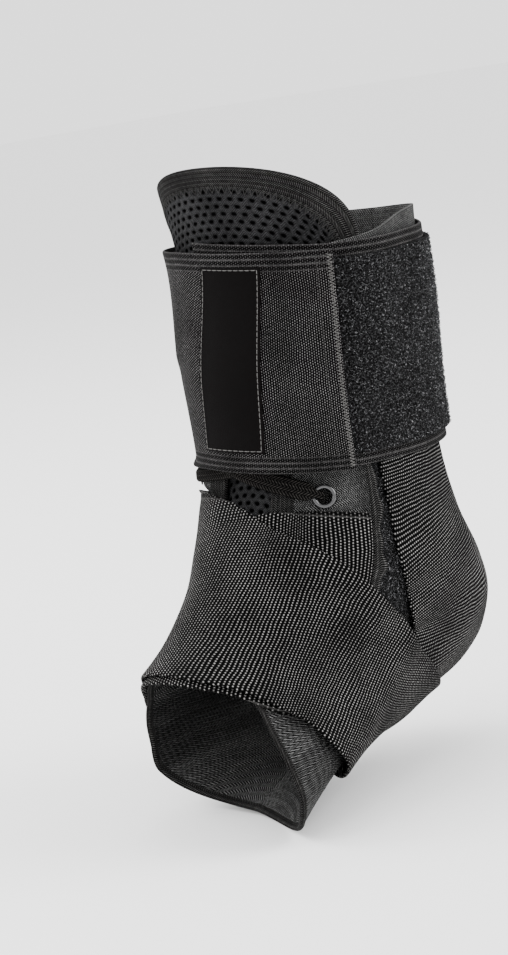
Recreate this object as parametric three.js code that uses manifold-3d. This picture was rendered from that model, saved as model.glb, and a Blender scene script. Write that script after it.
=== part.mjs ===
// A lace-up ankle brace for a right foot, in its worn shape, with its cuff and both figure-of-eight straps
// closed. Millimetres. +Z runs up the leg, the toes point along -Y and the inner (medial) side of the ankle is +X.
// The origin is the middle of the ankle. Every cloth piece is a thin wall laid over one shared limb shape,
// at its own height, so that it follows what lies under it.
import * as THREE from "three";
import Module from "manifold-3d";
import { mergeVertices } from "three/addons/utils/BufferGeometryUtils.js";

const wasm = await Module();
wasm.setup();

// The limb that the brace fits
const LEG_HEIGHT = 140; // ankle middle up to the first section
const FOOT_DROP = 96; // ankle middle down to the lowest point of the sole
const FRONT_REACH = 110; // leg axis forward to the end of the midfoot
const HEEL_REACH = 66; // leg axis back to the heel
const LIMB_WIDTH = 68; // side to side, at the ankle

// Cloth thicknesses, and the gap kept between neighbouring layers
const LAYER_GAP = 0.65;
const TONGUE_THICKNESS = 2.2;
const BOOT_THICKNESS = 1.2;
const PILE_THICKNESS = 1.1;
const STRAP_THICKNESS = 1.2;
const CUFF_THICKNESS = 1.3;
const LACE_THICKNESS = 1;
const LABEL_THICKNESS = 0.9;

// Widths along the cloth
const STRAP_WIDTH = 57;
const CUFF_HEIGHT = 76;
const TONGUE_BINDING_WIDTH = 7.5;
const FACING_BINDING_WIDTH = 8.5;
const EDGE_BINDING_WIDTH = 3.2;
const SLIT_BINDING_WIDTH = 2.6;
const SEAM_GAP = 0.5; // between two pieces that meet edge to edge
const LACE_WIDTH = 6.5;
const LACE_TIP_WIDTH = 2.6; // where it enters an eyelet
const LABEL_WIDTH = 21;

// Eyelets
const EYELET_BORE_RADIUS = 2.6;
const EYELET_WALL = 0.6;
const EYELET_FLANGE_RADIUS = 4.1;
const EYELET_FLANGE_HEIGHT = 0.7;
const EYELET_RIM = 0.35; // height of the flange's outer edge, as a share of its full height
const EYELET_MOUTH = 0.5; // the same at the edge of the bore
const EYELET_CLEARANCE = 0.35;

// Colours, all near black
const CLOTH = { color: 0x1b1b1d, roughness: 0.9, metalness: 0 };
const MESH_CLOTH = { color: 0x141416, roughness: 0.95, metalness: 0 };
const PILE = { color: 0x17171a, roughness: 1, metalness: 0 };
const SATIN = { color: 0x101012, roughness: 0.5, metalness: 0 };
const METAL = { color: 0x26262a, roughness: 0.3, metalness: 0.8 };

// Sections of the limb, from the leg down over the instep to the midfoot, each a closed curve through a front
// and a back point. front and back are shares of FRONT_REACH and HEEL_REACH forward and back of the leg axis.
// The heights are shares of LEG_HEIGHT where positive and of FOOT_DROP where negative. width is a share of
// LIMB_WIDTH, and widest is where between front and back the section is widest.
const SECTIONS = [
  { front: 0.36, frontHeight: 1.0, back: -0.72, backHeight: 1.0, width: 1.17, widest: 0.5 },
  { front: 0.305, frontHeight: 0.72, back: -0.7, backHeight: 0.72, width: 1.1, widest: 0.5 },
  { front: 0.31, frontHeight: 0.44, back: -0.65, backHeight: 0.44, width: 0.97, widest: 0.5 },
  { front: 0.315, frontHeight: 0.21, back: -0.65, backHeight: 0.17, width: 0.93, widest: 0.5 },
  { front: 0.365, frontHeight: 0.085, back: -0.715, backHeight: -0.02, width: 1.0, widest: 0.5 },
  { front: 0.435, frontHeight: 0.0, back: -0.9, backHeight: -0.25, width: 0.985, widest: 0.5 },
  { front: 0.505, frontHeight: -0.115, back: -0.98, backHeight: -0.43, width: 0.925, widest: 0.48 },
  { front: 0.585, frontHeight: -0.22, back: -0.67, backHeight: -0.6, width: 0.915, widest: 0.47 },
  { front: 0.665, frontHeight: -0.31, back: -0.12, backHeight: -0.67, width: 0.94, widest: 0.5 },
  { front: 0.78, frontHeight: -0.405, back: 0.38, backHeight: -0.735, width: 1.03, widest: 0.52 },
  { front: 0.9, frontHeight: -0.5, back: 0.86, backHeight: -0.86, width: 1.15, widest: 0.55 },
  { front: 1.02, frontHeight: -0.605, back: 1.27, backHeight: -1.0, width: 1.26, widest: 0.58 },
];
const LAST_STATION = SECTIONS.length - 1;
const SECTION_POWER = 2.1; // 2 is an ellipse, more is squarer

// A place on the limb is a station, counted along SECTIONS, and an angle in degrees round the section:
// 0 is the front, 90 the medial side, 180 the back and -90 the lateral side.
const FRONT_CENTRE = 2; // the angle of the middle of the tongue

// The tongue: a straight-sided flap with a round top. spread is half its width, in degrees.
const TONGUE_TOP = 0.18;
const TONGUE_SHOULDER = 0.95;
const TONGUE_BOTTOM = 7.8;
const TONGUE_SIDES = [
  { station: 0.95, spread: 73 },
  { station: 1.6, spread: 64 },
  { station: 3.0, spread: 48 },
  { station: 5.0, spread: 40 },
  { station: 7.8, spread: 28 },
];

// The facings: half the front opening of the boot, in degrees. It closes towards the toes.
const FACINGS = [
  { station: 0.9, half: 14 },
  { station: 5.2, half: 14 },
  { station: 6.6, half: 7 },
  { station: 7.5, half: 0.4 },
  { station: 11, half: 0.4 },
];

// The top edge of the boot and its toe edge: the station by angle, medial side positive.
const BOOT_TOP = [
  { angle: -180, station: 0.86 },
  { angle: -112, station: 0.86 },
  { angle: -75, station: 1.0 },
  { angle: 0, station: 1.0 },
  { angle: 75, station: 0.95 },
  { angle: 112, station: 0.84 },
  { angle: 180, station: 0.86 },
];
const TOE_EDGE = [
  { angle: -180, station: 10.1 },
  { angle: -110, station: 9.9 },
  { angle: -82, station: 9.45 },
  { angle: -55, station: 9.0 },
  { angle: -20, station: 8.6 },
  { angle: 12, station: 8.45 },
  { angle: 40, station: 8.8 },
  { angle: 66, station: 9.6 },
  { angle: 95, station: 10.2 },
  { angle: 120, station: 10.45 },
  { angle: 180, station: 10.1 },
];

// The heel opening: an oval about the back, from one station to another.
const HEEL_TOP = 4.0;
const HEEL_BOTTOM = 6.95;
const HEEL_SPREAD = 64; // degrees from the back to each side
const HEEL_POWER = 2.6; // 2 is an ellipse, more is squarer

// The middle line of a strap from its sewn root over the instep, under the sole and up to its end. turn is in
// degrees from the middle of the tongue, away from the root's side, and width is a share of STRAP_WIDTH.
const FIRST_STRAP = [
  { turn: -62, station: 6.5, width: 1.24 },
  { turn: -40, station: 6.5, width: 1.22 },
  { turn: -15, station: 6.4, width: 1.14 },
  { turn: 12, station: 6.5, width: 1.05 },
  { turn: 46, station: 7.0, width: 1.0 },
  { turn: 80, station: 7.85, width: 0.98 },
  { turn: 112, station: 8.35, width: 0.95 },
  { turn: 150, station: 8.35, width: 0.9 },
  { turn: 190, station: 8.0, width: 0.9 },
  { turn: 222, station: 7.35, width: 0.92 },
  { turn: 242, station: 6.8, width: 0.93 },
  { turn: 255, station: 6.0, width: 0.95 },
  { turn: 260, station: 5.0, width: 0.88 },
  { turn: 262, station: 4.1, width: 0.8 },
  { turn: 263.5, station: 3.1, width: 0.71 },
  { turn: 264.5, station: 2.3, width: 0.67 },
];
const SECOND_STRAP = [
  { turn: -62, station: 6.15, width: 1.3 },
  { turn: -40, station: 6.1, width: 1.28 },
  { turn: -15, station: 6.1, width: 1.18 },
  { turn: 12, station: 6.45, width: 1.05 },
  ...FIRST_STRAP.slice(4),
];
const STRAPS_PART = 253; // the turn from which the second strap has no strap under it
const STRAPS_PART_RAMP = 4;

// The loop pile patch that each strap's end closes onto, in degrees from the middle of the tongue
const PILE_FROM = 67;
const PILE_TO = 112;
const PILE_TOP = 2.05;
const PILE_BOTTOM = 6.3;

// The bound edge between the root of a strap and its pile patch. On the lateral side it stops above the
// first strap.
const SLIT_ANGLE = 62.8;
const SLIT_BOTTOM = { medial: 6.4, lateral: 5.5 };

// The cuff winds from its inner end at the front round the medial side and the back to its outer end.
// turn is its angle, and middle the height of its middle line above the ankle, as a share of its own height.
const CUFF_COURSE = [
  { turn: -6, middle: 0.935 },
  { turn: 30, middle: 0.885 },
  { turn: 60, middle: 0.845 },
  { turn: 115, middle: 0.83 },
  { turn: 180, middle: 0.85 },
  { turn: 270, middle: 0.88 },
  { turn: 343, middle: 0.9 },
  { turn: 366, middle: 0.88 },
  { turn: 390, middle: 0.855 },
  { turn: 417, middle: 0.83 },
];
const CUFF_START = CUFF_COURSE[0].turn;
const CUFF_END = CUFF_COURSE[CUFF_COURSE.length - 1].turn;
const CUFF_PILE_FROM = 44;
const CUFF_PILE_TO = 152;
const CUFF_PILE_HEM = 0.06; // the plain edge above and below the pile, as a share of the cuff's height

// The two ends of the label patch's middle line, on the cuff's outer turn: level counts from the cuff's
// middle, as a share of its height.
const LABEL_TOP = { turn: 373, level: 0.435 };
const LABEL_BOTTOM = { turn: 364.5, level: -0.395 };

// The eyelets: the medial one of the lower pair shows, and the cuff covers the upper pair.
const EYELETS = {
  medial_lower: { station: 3.56, angle: 43.5 },
  medial_upper: { station: 2.8, angle: 43.5 },
  lateral_lower: { station: 3.12, angle: -42 },
  lateral_upper: { station: 2.42, angle: -42 },
};
const LACES = [
  { name: "lace_over", from: "lateral_upper", to: "medial_lower", crossing: 1 },
  { name: "lace_under", from: "medial_upper", to: "lateral_lower", crossing: 0 },
];

// Curves
const clamp = (value, low, high) => Math.min(high, Math.max(low, value));
const lerp = (from, to, share) => from + (to - from) * share;
const shares = (count) => Array.from({ length: count + 1 }, (_, step) => step / count);
// Shares in stretches, each given as where it ends and how many steps it takes.
const pacedShares = (stretches) => {
  return stretches.reduce((all, [end, steps]) => {
    const start = all[all.length - 1];
    return [...all, ...shares(steps).slice(1).map((share) => lerp(start, end, share))];
  }, [0]);
};
const easedShares = (count) => shares(count).map((share) => (1 - Math.cos(Math.PI * share)) / 2);
const squarer = (value, power) => Math.sign(value) * Math.abs(value) ** (2 / power);

// Rises smoothly from 0 at from to 1 at to.
function rise(value, from, to) {
  const share = clamp((value - from) / (to - from), 0, 1);
  return share * share * (3 - 2 * share);
}

// 1 from one value to another, falling to 0 over a ramp on each side that starts clear of it.
function plateau(value, from, to, clear, ramp) {
  return rise(value, from - clear - ramp, from - clear) * (1 - rise(value, to + clear, to + clear + ramp));
}

// Reads a table as a smooth curve through its rows: the column, where the column named key is at.
function readCurve(table, key, column, at) {
  let row = 0;
  while (row < table.length - 2 && table[row + 1][key] < at) row++;
  const [a, b] = [table[row], table[row + 1]];
  const before = table[Math.max(0, row - 1)];
  const after = table[Math.min(table.length - 1, row + 2)];
  const span = b[key] - a[key];
  const share = clamp((at - a[key]) / span, 0, 1);
  const slopeIn = ((b[column] - before[column]) / (b[key] - before[key])) * span;
  const slopeOut = ((after[column] - a[column]) / (after[key] - a[key])) * span;
  const squared = share * share;
  const cubed = squared * share;
  return (
    a[column] * (2 * cubed - 3 * squared + 1) +
    slopeIn * (cubed - 2 * squared + share) +
    b[column] * (3 * squared - 2 * cubed) +
    slopeOut * (cubed - squared)
  );
}

// The limb's surface
const heightOf = (share) => share * (share > 0 ? LEG_HEIGHT : FOOT_DROP);
const LIMB = SECTIONS.map((row, station) => ({
  station,
  front: row.front * FRONT_REACH,
  frontHeight: heightOf(row.frontHeight),
  back: row.back * HEEL_REACH,
  backHeight: heightOf(row.backHeight),
  halfWidth: (row.width * LIMB_WIDTH) / 2,
  widest: row.widest,
}));

function limbPoint(station, angle) {
  const at = (column) => readCurve(LIMB, "station", column, station);
  const radians = THREE.MathUtils.degToRad(angle);
  const forward = squarer(Math.cos(radians), SECTION_POWER);
  const widest = at("widest");
  const share = forward > 0 ? widest * (1 - forward) : widest - (1 - widest) * forward;
  return new THREE.Vector3(
    at("halfWidth") * squarer(Math.sin(radians), SECTION_POWER),
    -lerp(at("front"), at("back"), share),
    lerp(at("frontHeight"), at("backHeight"), share),
  );
}

const STATION_NUDGE = 0.04;
const ANGLE_NUDGE = 1.5;
function limbNormal({ station, angle }) {
  const low = clamp(station - STATION_NUDGE, 0, LAST_STATION);
  const high = clamp(station + STATION_NUDGE, 0, LAST_STATION);
  const along = limbPoint(high, angle).sub(limbPoint(low, angle));
  const around = limbPoint(station, angle + ANGLE_NUDGE).sub(limbPoint(station, angle - ANGLE_NUDGE));
  return along.cross(around).normalize();
}

// The point that stands lift off the limb.
function raised(place, lift) {
  return limbPoint(place.station, place.angle).addScaledVector(limbNormal(place), lift);
}

// Widths are measured about this far off the limb.
const WALK_LIFT = 5;
const DEGREES_PER_MM = 360 / (Math.PI * (LIMB_WIDTH + 2 * WALK_LIFT));

function stationsPerMm({ station, angle }) {
  const low = raised({ station: station - STATION_NUDGE, angle }, WALK_LIFT);
  const high = raised({ station: station + STATION_NUDGE, angle }, WALK_LIFT);
  return (2 * STATION_NUDGE) / high.distanceTo(low);
}

// Walks a distance over the cloth from a place, in a direction, and gives the place it comes to.
const WALK_STEP = 3;
function walk(place, direction, distance) {
  let { station, angle } = place;
  const heading = direction.clone();
  const steps = Math.max(1, Math.ceil(Math.abs(distance) / WALK_STEP));
  const stride = distance / steps;
  for (let step = 0; step < steps; step++) {
    const here = raised({ station, angle }, WALK_LIFT);
    const nudge = station < LAST_STATION - 1 ? STATION_NUDGE : -STATION_NUDGE;
    const along = raised({ station: station + nudge, angle }, WALK_LIFT).sub(here).divideScalar(nudge);
    const around = raised({ station, angle: angle + ANGLE_NUDGE }, WALK_LIFT).sub(here);
    around.divideScalar(ANGLE_NUDGE);
    const normal = limbNormal({ station, angle });
    heading.addScaledVector(normal, -heading.dot(normal)).normalize();
    const [e, f, g] = [along.dot(along), along.dot(around), around.dot(around)];
    const [p, q] = [heading.dot(along), heading.dot(around)];
    const determinant = e * g - f * f;
    station = clamp(station + (stride * (g * p - f * q)) / determinant, 0, LAST_STATION);
    angle += (stride * (e * q - f * p)) / determinant;
  }
  return { station, angle };
}

// The places of a band that follows a line: u runs along it and v across its width.
const LINE_NUDGE = 0.01;
function band(line, width) {
  return (u, v) => {
    const behind = raised(line(Math.max(0, u - LINE_NUDGE)), WALK_LIFT);
    const ahead = raised(line(Math.min(1, u + LINE_NUDGE)), WALK_LIFT);
    const across = ahead.sub(behind).cross(limbNormal(line(u))).normalize();
    return walk(line(u), across, width(u) * (v - 0.5));
  };
}

// Closed solids
function closedGeometry(points, triangles) {
  const volume = triangles.reduce((sum, [a, b, c]) => {
    return sum + points[a].dot(points[b].clone().cross(points[c])) / 6;
  }, 0);
  const outward = volume > 0 ? triangles : triangles.map(([a, b, c]) => [a, c, b]);
  const positions = points.flatMap((point) => point.toArray());
  const geometry = new THREE.BufferGeometry();
  geometry.setAttribute("position", new THREE.Float32BufferAttribute(positions, 3));
  geometry.setIndex(outward.flat());
  geometry.computeVertexNormals();
  return geometry;
}

// A thin wall over the limb. place(u, v) gives the place at each pair of shares in along and across, and
// faces(place, u, v) the heights of its inner and outer face. A ring is closed along u.
function clothWall({ place, faces, along, across, ring = false }) {
  const lines = ring ? along.slice(0, -1) : along;
  const inner = [];
  const outer = [];
  for (const u of lines) {
    for (const v of across) {
      const here = place(u, v);
      const [low, high] = faces(here, u, v);
      inner.push(raised(here, low));
      outer.push(raised(here, high));
    }
  }
  const [rows, columns] = [lines.length, across.length];
  const shift = rows * columns;
  const id = (i, j) => (i % rows) * columns + j;
  const triangles = [];
  const quad = (a, b, c, d) => triangles.push([a, b, c], [a, c, d]);
  const wall = (a, b) => quad(b, a, a + shift, b + shift);
  for (let i = 0; i < along.length - 1; i++) {
    for (let j = 0; j < columns - 1; j++) {
      const [a, b, c, d] = [id(i, j), id(i + 1, j), id(i + 1, j + 1), id(i, j + 1)];
      quad(a, b, c, d);
      quad(d + shift, c + shift, b + shift, a + shift);
    }
    wall(id(i, 0), id(i + 1, 0));
    wall(id(i + 1, columns - 1), id(i, columns - 1));
  }
  for (let j = 0; !ring && j < columns - 1; j++) {
    wall(id(0, j + 1), id(0, j));
    wall(id(rows - 1, j), id(rows - 1, j + 1));
  }
  return closedGeometry([...inner, ...outer], triangles);
}

function toManifold(geometry) {
  const bare = new THREE.BufferGeometry();
  bare.setAttribute("position", geometry.getAttribute("position"));
  bare.setIndex(geometry.index);
  const merged = mergeVertices(bare);
  const vertProperties = merged.attributes.position.array;
  const triVerts = new Uint32Array(merged.index.array);
  return new wasm.Manifold(new wasm.Mesh({ numProp: 3, vertProperties, triVerts }));
}

function fromManifold(solid) {
  const { vertProperties, triVerts } = solid.getMesh();
  const geometry = new THREE.BufferGeometry();
  geometry.setAttribute("position", new THREE.BufferAttribute(vertProperties, 3));
  geometry.setIndex(new THREE.BufferAttribute(triVerts, 1));
  geometry.computeVertexNormals();
  return geometry;
}

function cutFrom(geometry, cutters) {
  const solid = cutters.reduce((rest, cutter) => rest.subtract(toManifold(cutter)), toManifold(geometry));
  return fromManifold(solid);
}

function namedMesh(name, geometry, look) {
  const mesh = new THREE.Mesh(geometry, new THREE.MeshStandardMaterial(look));
  mesh.name = name;
  return mesh;
}

// Heights. Each layer stands on what lies under it, and starts to rise a little before it gets there.
const CLEAR_DEGREES = 4;
const RAMP_DEGREES = 16;
const TONGUE_RAMP_DEGREES = 24;
const CLEAR_STATIONS = 0.15;
const RAMP_STATIONS = 1;
const CUFF_RAMP_STATIONS = 1.1;

const turned = (angle) => ((((angle + 180) % 360) + 360) % 360) - 180;
const fromCentre = (angle) => Math.abs(turned(angle - FRONT_CENTRE));
const tongueSpread = (station) => readCurve(TONGUE_SIDES, "station", "spread", station);

function overTongue({ station, angle }) {
  const edge = tongueSpread(station) + CLEAR_DEGREES;
  return 1 - rise(fromCentre(angle), edge, edge + TONGUE_RAMP_DEGREES);
}

function overPile({ station, angle }) {
  const inAngle = plateau(fromCentre(angle), PILE_FROM, PILE_TO, CLEAR_DEGREES, RAMP_DEGREES);
  return inAngle * plateau(station, PILE_TOP, PILE_BOTTOM, CLEAR_STATIONS, RAMP_STATIONS);
}

const bootInner = (place) => LAYER_GAP + (TONGUE_THICKNESS + LAYER_GAP) * overTongue(place);
const bootOuter = (place) => bootInner(place) + BOOT_THICKNESS;
const pileInner = (place) => bootOuter(place) + LAYER_GAP;
const firstStrapInner = (place) => pileInner(place) + (PILE_THICKNESS + LAYER_GAP) * overPile(place);
const secondStrapInner = (place, turn) => {
  const stacked = 1 - rise(turn, STRAPS_PART, STRAPS_PART + STRAPS_PART_RAMP);
  return firstStrapInner(place) + (STRAP_THICKNESS + LAYER_GAP) * stacked;
};

// The cuff stands on the boot, on the eyelets and laces that it covers, and on the ends of the straps.
const EYELET_LIFT = EYELET_CLEARANCE + EYELET_FLANGE_HEIGHT;
const LACING_HEIGHT = Math.max(EYELET_LIFT, LACE_THICKNESS + LAYER_GAP) + LAYER_GAP + LACE_THICKNESS;
const STRAP_END_HEIGHT = PILE_THICKNESS + STRAP_THICKNESS + 2 * LAYER_GAP;
const LACING_SPREAD = 52;
const LACING_TOP = 2.2;
const STRAP_END_FROM = 65;
const STRAP_END_TO = 122;

function cuffInner(place, turn) {
  const aside = fromCentre(place.angle);
  const lacing = plateau(aside, -LACING_SPREAD, LACING_SPREAD, CLEAR_DEGREES, RAMP_DEGREES);
  const ends = plateau(aside, STRAP_END_FROM, STRAP_END_TO, CLEAR_DEGREES, RAMP_DEGREES);
  const below = (top) => rise(place.station, top - CLEAR_STATIONS - CUFF_RAMP_STATIONS, top - CLEAR_STATIONS);
  const overLacing = LACING_HEIGHT * lacing * below(LACING_TOP);
  const overEnds = STRAP_END_HEIGHT * ends * below(PILE_TOP);
  const secondTurn = turn - 360;
  const overStart = rise(secondTurn, CUFF_START - 2 * RAMP_DEGREES, CUFF_START - CLEAR_DEGREES);
  const overCuffPile = rise(secondTurn, CUFF_PILE_FROM - RAMP_DEGREES, CUFF_PILE_FROM - CLEAR_DEGREES);
  const wound = (CUFF_THICKNESS + LAYER_GAP) * overStart + (PILE_THICKNESS + LAYER_GAP) * overCuffPile;
  return pileInner(place) + Math.max(overLacing, overEnds) + wound;
}
const cuffOuter = (place, turn) => cuffInner(place, turn) + CUFF_THICKNESS;

// The tongue and its binding. Both follow one outline, so that they meet edge to edge.
// side runs from -1 to 1 across it, and depth from 0 at its top edge to 1 at its bottom.
function tonguePlace(side, depth, inset) {
  const dome = 1 - Math.sqrt(1 - side * side);
  const edge = lerp(TONGUE_TOP, TONGUE_SHOULDER, dome);
  const top = edge + inset * stationsPerMm({ station: edge, angle: FRONT_CENTRE });
  const station = lerp(top, TONGUE_BOTTOM, depth);
  return { station, angle: FRONT_CENTRE + side * (tongueSpread(station) - inset * DEGREES_PER_MM) };
}

// The tongue's outline from its lower lateral corner over the top to its lower medial corner.
const ROUND_TOP_SHARE = 0.36;
function tongueOutline(share, inset) {
  const straight = (1 - ROUND_TOP_SHARE) / 2;
  if (share < straight) return tonguePlace(-1, 1 - share / straight, inset);
  if (share > 1 - straight) return tonguePlace(1, (share - 1 + straight) / straight, inset);
  const side = Math.sin(Math.PI * ((share - straight) / ROUND_TOP_SHARE - 0.5));
  return tonguePlace(side, 0, inset);
}

// The rows of the tongue lie closer together where it bends forward over the instep.
const TONGUE_ROWS = [
  [0.22, 4],
  [0.6, 5],
  [1, 3],
];

function makeTongue() {
  const faces = () => [LAYER_GAP, LAYER_GAP + TONGUE_THICKNESS];
  const field = clothWall({
    place: (u, v) => tonguePlace(Math.sin(Math.PI * (u - 0.5)), v, TONGUE_BINDING_WIDTH),
    faces,
    along: shares(16),
    across: pacedShares(TONGUE_ROWS),
  });
  const binding = clothWall({
    place: (u, v) => tongueOutline(u, lerp(0, TONGUE_BINDING_WIDTH - SEAM_GAP, v)),
    faces,
    along: shares(42),
    across: shares(1),
  });
  return [namedMesh("tongue", field, MESH_CLOTH), namedMesh("tongue_binding", binding, CLOTH)];
}

// The boot: a medial and a lateral panel that meet at the back seam, under the sole and over the toes.
const SIDES = [
  { name: "medial", sign: 1 },
  { name: "lateral", sign: -1 },
];
const bootTop = (angle) => readCurve(BOOT_TOP, "angle", "station", turned(angle));
const toeEdge = (angle) => readCurve(TOE_EDGE, "angle", "station", turned(angle));
const CLOSED_FACING = FACINGS[FACINGS.length - 1].half;
const facingHalf = (station) => Math.max(CLOSED_FACING, readCurve(FACINGS, "station", "half", station));

// The station a share of the way from the boot's top edge to its toe edge, short of the toe binding.
function bootStation(angle, depth) {
  const toe = toeEdge(angle);
  const binding = (EDGE_BINDING_WIDTH + SEAM_GAP) * stationsPerMm({ station: toe, angle });
  return lerp(bootTop(angle), toe - binding, depth);
}

// The angle that lies a distance in mm behind the facing of a side.
function facingAngle(sign, depth, distance) {
  const half = facingHalf(bootStation(FRONT_CENTRE, depth));
  return FRONT_CENTRE + sign * (half + distance * DEGREES_PER_MM);
}

function bootPlace(sign, u, depth) {
  const front = facingAngle(sign, depth, FACING_BINDING_WIDTH + SEAM_GAP);
  const back = sign * (180 - (SEAM_GAP / 2) * DEGREES_PER_MM);
  const angle = lerp(front, back, u);
  return { station: bootStation(angle, depth), angle };
}

// The heel opening's outline, grown by a distance in mm. along runs from -1 at its top to 1 at its bottom.
const HEEL_MIDDLE = { station: (HEEL_TOP + HEEL_BOTTOM) / 2, angle: 180 };
const heelReach = (grown) => ({
  stations: (HEEL_BOTTOM - HEEL_TOP) / 2 + grown * stationsPerMm(HEEL_MIDDLE),
  degrees: HEEL_SPREAD + grown * DEGREES_PER_MM,
});

function heelOutline(share, grown) {
  const reach = heelReach(grown);
  const radians = 2 * Math.PI * share;
  return {
    station: HEEL_MIDDLE.station + reach.stations * squarer(Math.cos(radians), HEEL_POWER),
    angle: HEEL_MIDDLE.angle + reach.degrees * squarer(Math.sin(radians), HEEL_POWER),
  };
}

// The cutter's ends are flat, where the oval is nearly so.
const HEEL_FLAT = 0.98;
const CUT_DEPTH = 3; // how far a cutter reaches past both faces of the wall
const throughBoot = (place) => [bootInner(place) - CUT_DEPTH, bootOuter(place) + CUT_DEPTH];

function heelCutter() {
  const reach = heelReach(EDGE_BINDING_WIDTH + SEAM_GAP);
  return clothWall({
    place: (u, v) => {
      const along = 2 * u - 1;
      const level = Math.min(Math.abs(along), HEEL_FLAT);
      const half = reach.degrees * (1 - level ** HEEL_POWER) ** (1 / HEEL_POWER);
      return {
        station: HEEL_MIDDLE.station + reach.stations * along,
        angle: HEEL_MIDDLE.angle + half * (2 * v - 1),
      };
    },
    faces: throughBoot,
    along: easedShares(16),
    across: shares(12),
  });
}

// Turns a geometry made along +Y to stand on the boot at a place, at a height.
function standOn(geometry, place, height) {
  const upright = new THREE.Vector3(0, 1, 0);
  const stand = new THREE.Quaternion().setFromUnitVectors(upright, limbNormal(place));
  const at = raised(place, height);
  return geometry.applyQuaternion(stand).translate(at.x, at.y, at.z);
}

const EYELET_SIDES = 10;
function eyeletCutter(place) {
  const radius = EYELET_BORE_RADIUS + EYELET_WALL + EYELET_CLEARANCE;
  const drill = new THREE.CylinderGeometry(radius, radius, 2 * CUT_DEPTH + BOOT_THICKNESS, EYELET_SIDES);
  drill.deleteAttribute("normal");
  drill.deleteAttribute("uv");
  return standOn(mergeVertices(drill), place, bootInner(place) + BOOT_THICKNESS / 2);
}

// The rows of a boot panel lie closer together round the heel and the instep than up the leg.
const BOOT_ROWS = [
  [0.33, 5],
  [0.78, 11],
  [1, 5],
];

function makeBoot() {
  const heel = heelCutter();
  const heelBinding = clothWall({
    place: (u, v) => heelOutline(u, EDGE_BINDING_WIDTH * v),
    faces: (place) => [bootInner(place), bootOuter(place)],
    along: shares(28),
    across: shares(1),
    ring: true,
  });
  const toeBinding = clothWall({
    place: (u, v) => {
      const angle = 360 * u;
      const toe = toeEdge(angle);
      return { station: toe - EDGE_BINDING_WIDTH * v * stationsPerMm({ station: toe, angle }), angle };
    },
    faces: (place) => [bootInner(place), bootOuter(place)],
    along: shares(36),
    across: shares(1),
    ring: true,
  });
  const panels = SIDES.flatMap(({ name, sign }) => {
    const panel = clothWall({
      place: (u, v) => bootPlace(sign, u, v),
      faces: (place) => [bootInner(place), bootOuter(place)],
      along: shares(14),
      across: pacedShares(BOOT_ROWS),
    });
    const holes = Object.entries(EYELETS)
      .filter(([key]) => key.startsWith(name))
      .map(([, place]) => eyeletCutter(place));
    const facing = clothWall({
      place: (u, v) => {
        const angle = facingAngle(sign, u, FACING_BINDING_WIDTH * v);
        return { station: bootStation(angle, u), angle };
      },
      faces: (place) => [bootInner(place), bootOuter(place)],
      along: shares(20),
      across: shares(1),
    });
    return [
      namedMesh(`boot_${name}`, cutFrom(panel, [heel, ...holes]), CLOTH),
      namedMesh(`facing_binding_${name}`, facing, CLOTH),
    ];
  });
  return [
    ...panels,
    namedMesh("heel_binding", heelBinding, CLOTH),
    namedMesh("toe_binding", toeBinding, CLOTH),
  ];
}

// Eyelets and laces
function makeEyelets() {
  const barrel = EYELET_BORE_RADIUS + EYELET_WALL;
  const foot = -(EYELET_CLEARANCE + BOOT_THICKNESS);
  const section = [
    [EYELET_BORE_RADIUS, foot],
    [barrel, foot],
    [barrel, 0],
    [EYELET_FLANGE_RADIUS, 0],
    [EYELET_FLANGE_RADIUS, EYELET_RIM * EYELET_FLANGE_HEIGHT],
    [(barrel + EYELET_FLANGE_RADIUS) / 2, EYELET_FLANGE_HEIGHT],
    [barrel, EYELET_FLANGE_HEIGHT],
    [EYELET_BORE_RADIUS, EYELET_MOUTH * EYELET_FLANGE_HEIGHT],
    [EYELET_BORE_RADIUS, foot],
  ];
  return Object.entries(EYELETS).map(([name, place]) => {
    const ring = new THREE.LatheGeometry(section.map(([x, y]) => new THREE.Vector2(x, y)), EYELET_SIDES);
    standOn(ring, place, bootOuter(place) + EYELET_CLEARANCE);
    return namedMesh(`eyelet_${name}`, ring, METAL);
  });
}

// The laces cross within these degrees of the middle of the tongue.
const LACES_CROSS = 20;
const LACES_RAMP = 8;
// How far from the middle of its eyelet a lace comes up out of the bore, comes down off the flange and has
// spread to its full width.
const LACE_RISES = { from: 0.2 * EYELET_BORE_RADIUS, to: EYELET_BORE_RADIUS };
const LACE_SINKS = { from: EYELET_FLANGE_RADIUS, to: 2.5 * EYELET_FLANGE_RADIUS };
const LACE_SPREADS = { from: 0.8 * EYELET_BORE_RADIUS, to: 1.6 * EYELET_FLANGE_RADIUS };
function makeLace({ name, from, to, crossing }) {
  const [start, end] = [EYELETS[from], EYELETS[to]];
  const line = (u) => ({
    station: lerp(start.station, end.station, u),
    angle: lerp(start.angle, end.angle, u),
  });
  const length = shares(20).reduce((sum, u, step, all) => {
    return step ? sum + raised(line(u), WALK_LIFT).distanceTo(raised(line(all[step - 1]), WALK_LIFT)) : 0;
  }, 0);
  const over = (stretch, u) => rise(length * Math.min(u, 1 - u), stretch.from, stretch.to);
  const faces = (place, u) => {
    const crossed = crossing * plateau(fromCentre(place.angle), -LACES_CROSS, LACES_CROSS, 0, LACES_RAMP);
    const overFlange = EYELET_LIFT + LAYER_GAP;
    const lift = over(LACE_RISES, u) * lerp(overFlange, LAYER_GAP, over(LACE_SINKS, u));
    const low = bootOuter(place) + lift + (LACE_THICKNESS + LAYER_GAP) * crossed;
    return [low, low + LACE_THICKNESS];
  };
  const lace = clothWall({
    place: band(line, (u) => lerp(LACE_TIP_WIDTH, LACE_WIDTH, over(LACE_SPREADS, u))),
    faces,
    along: easedShares(22),
    across: shares(1),
  });
  return namedMesh(name, lace, CLOTH);
}

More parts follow.
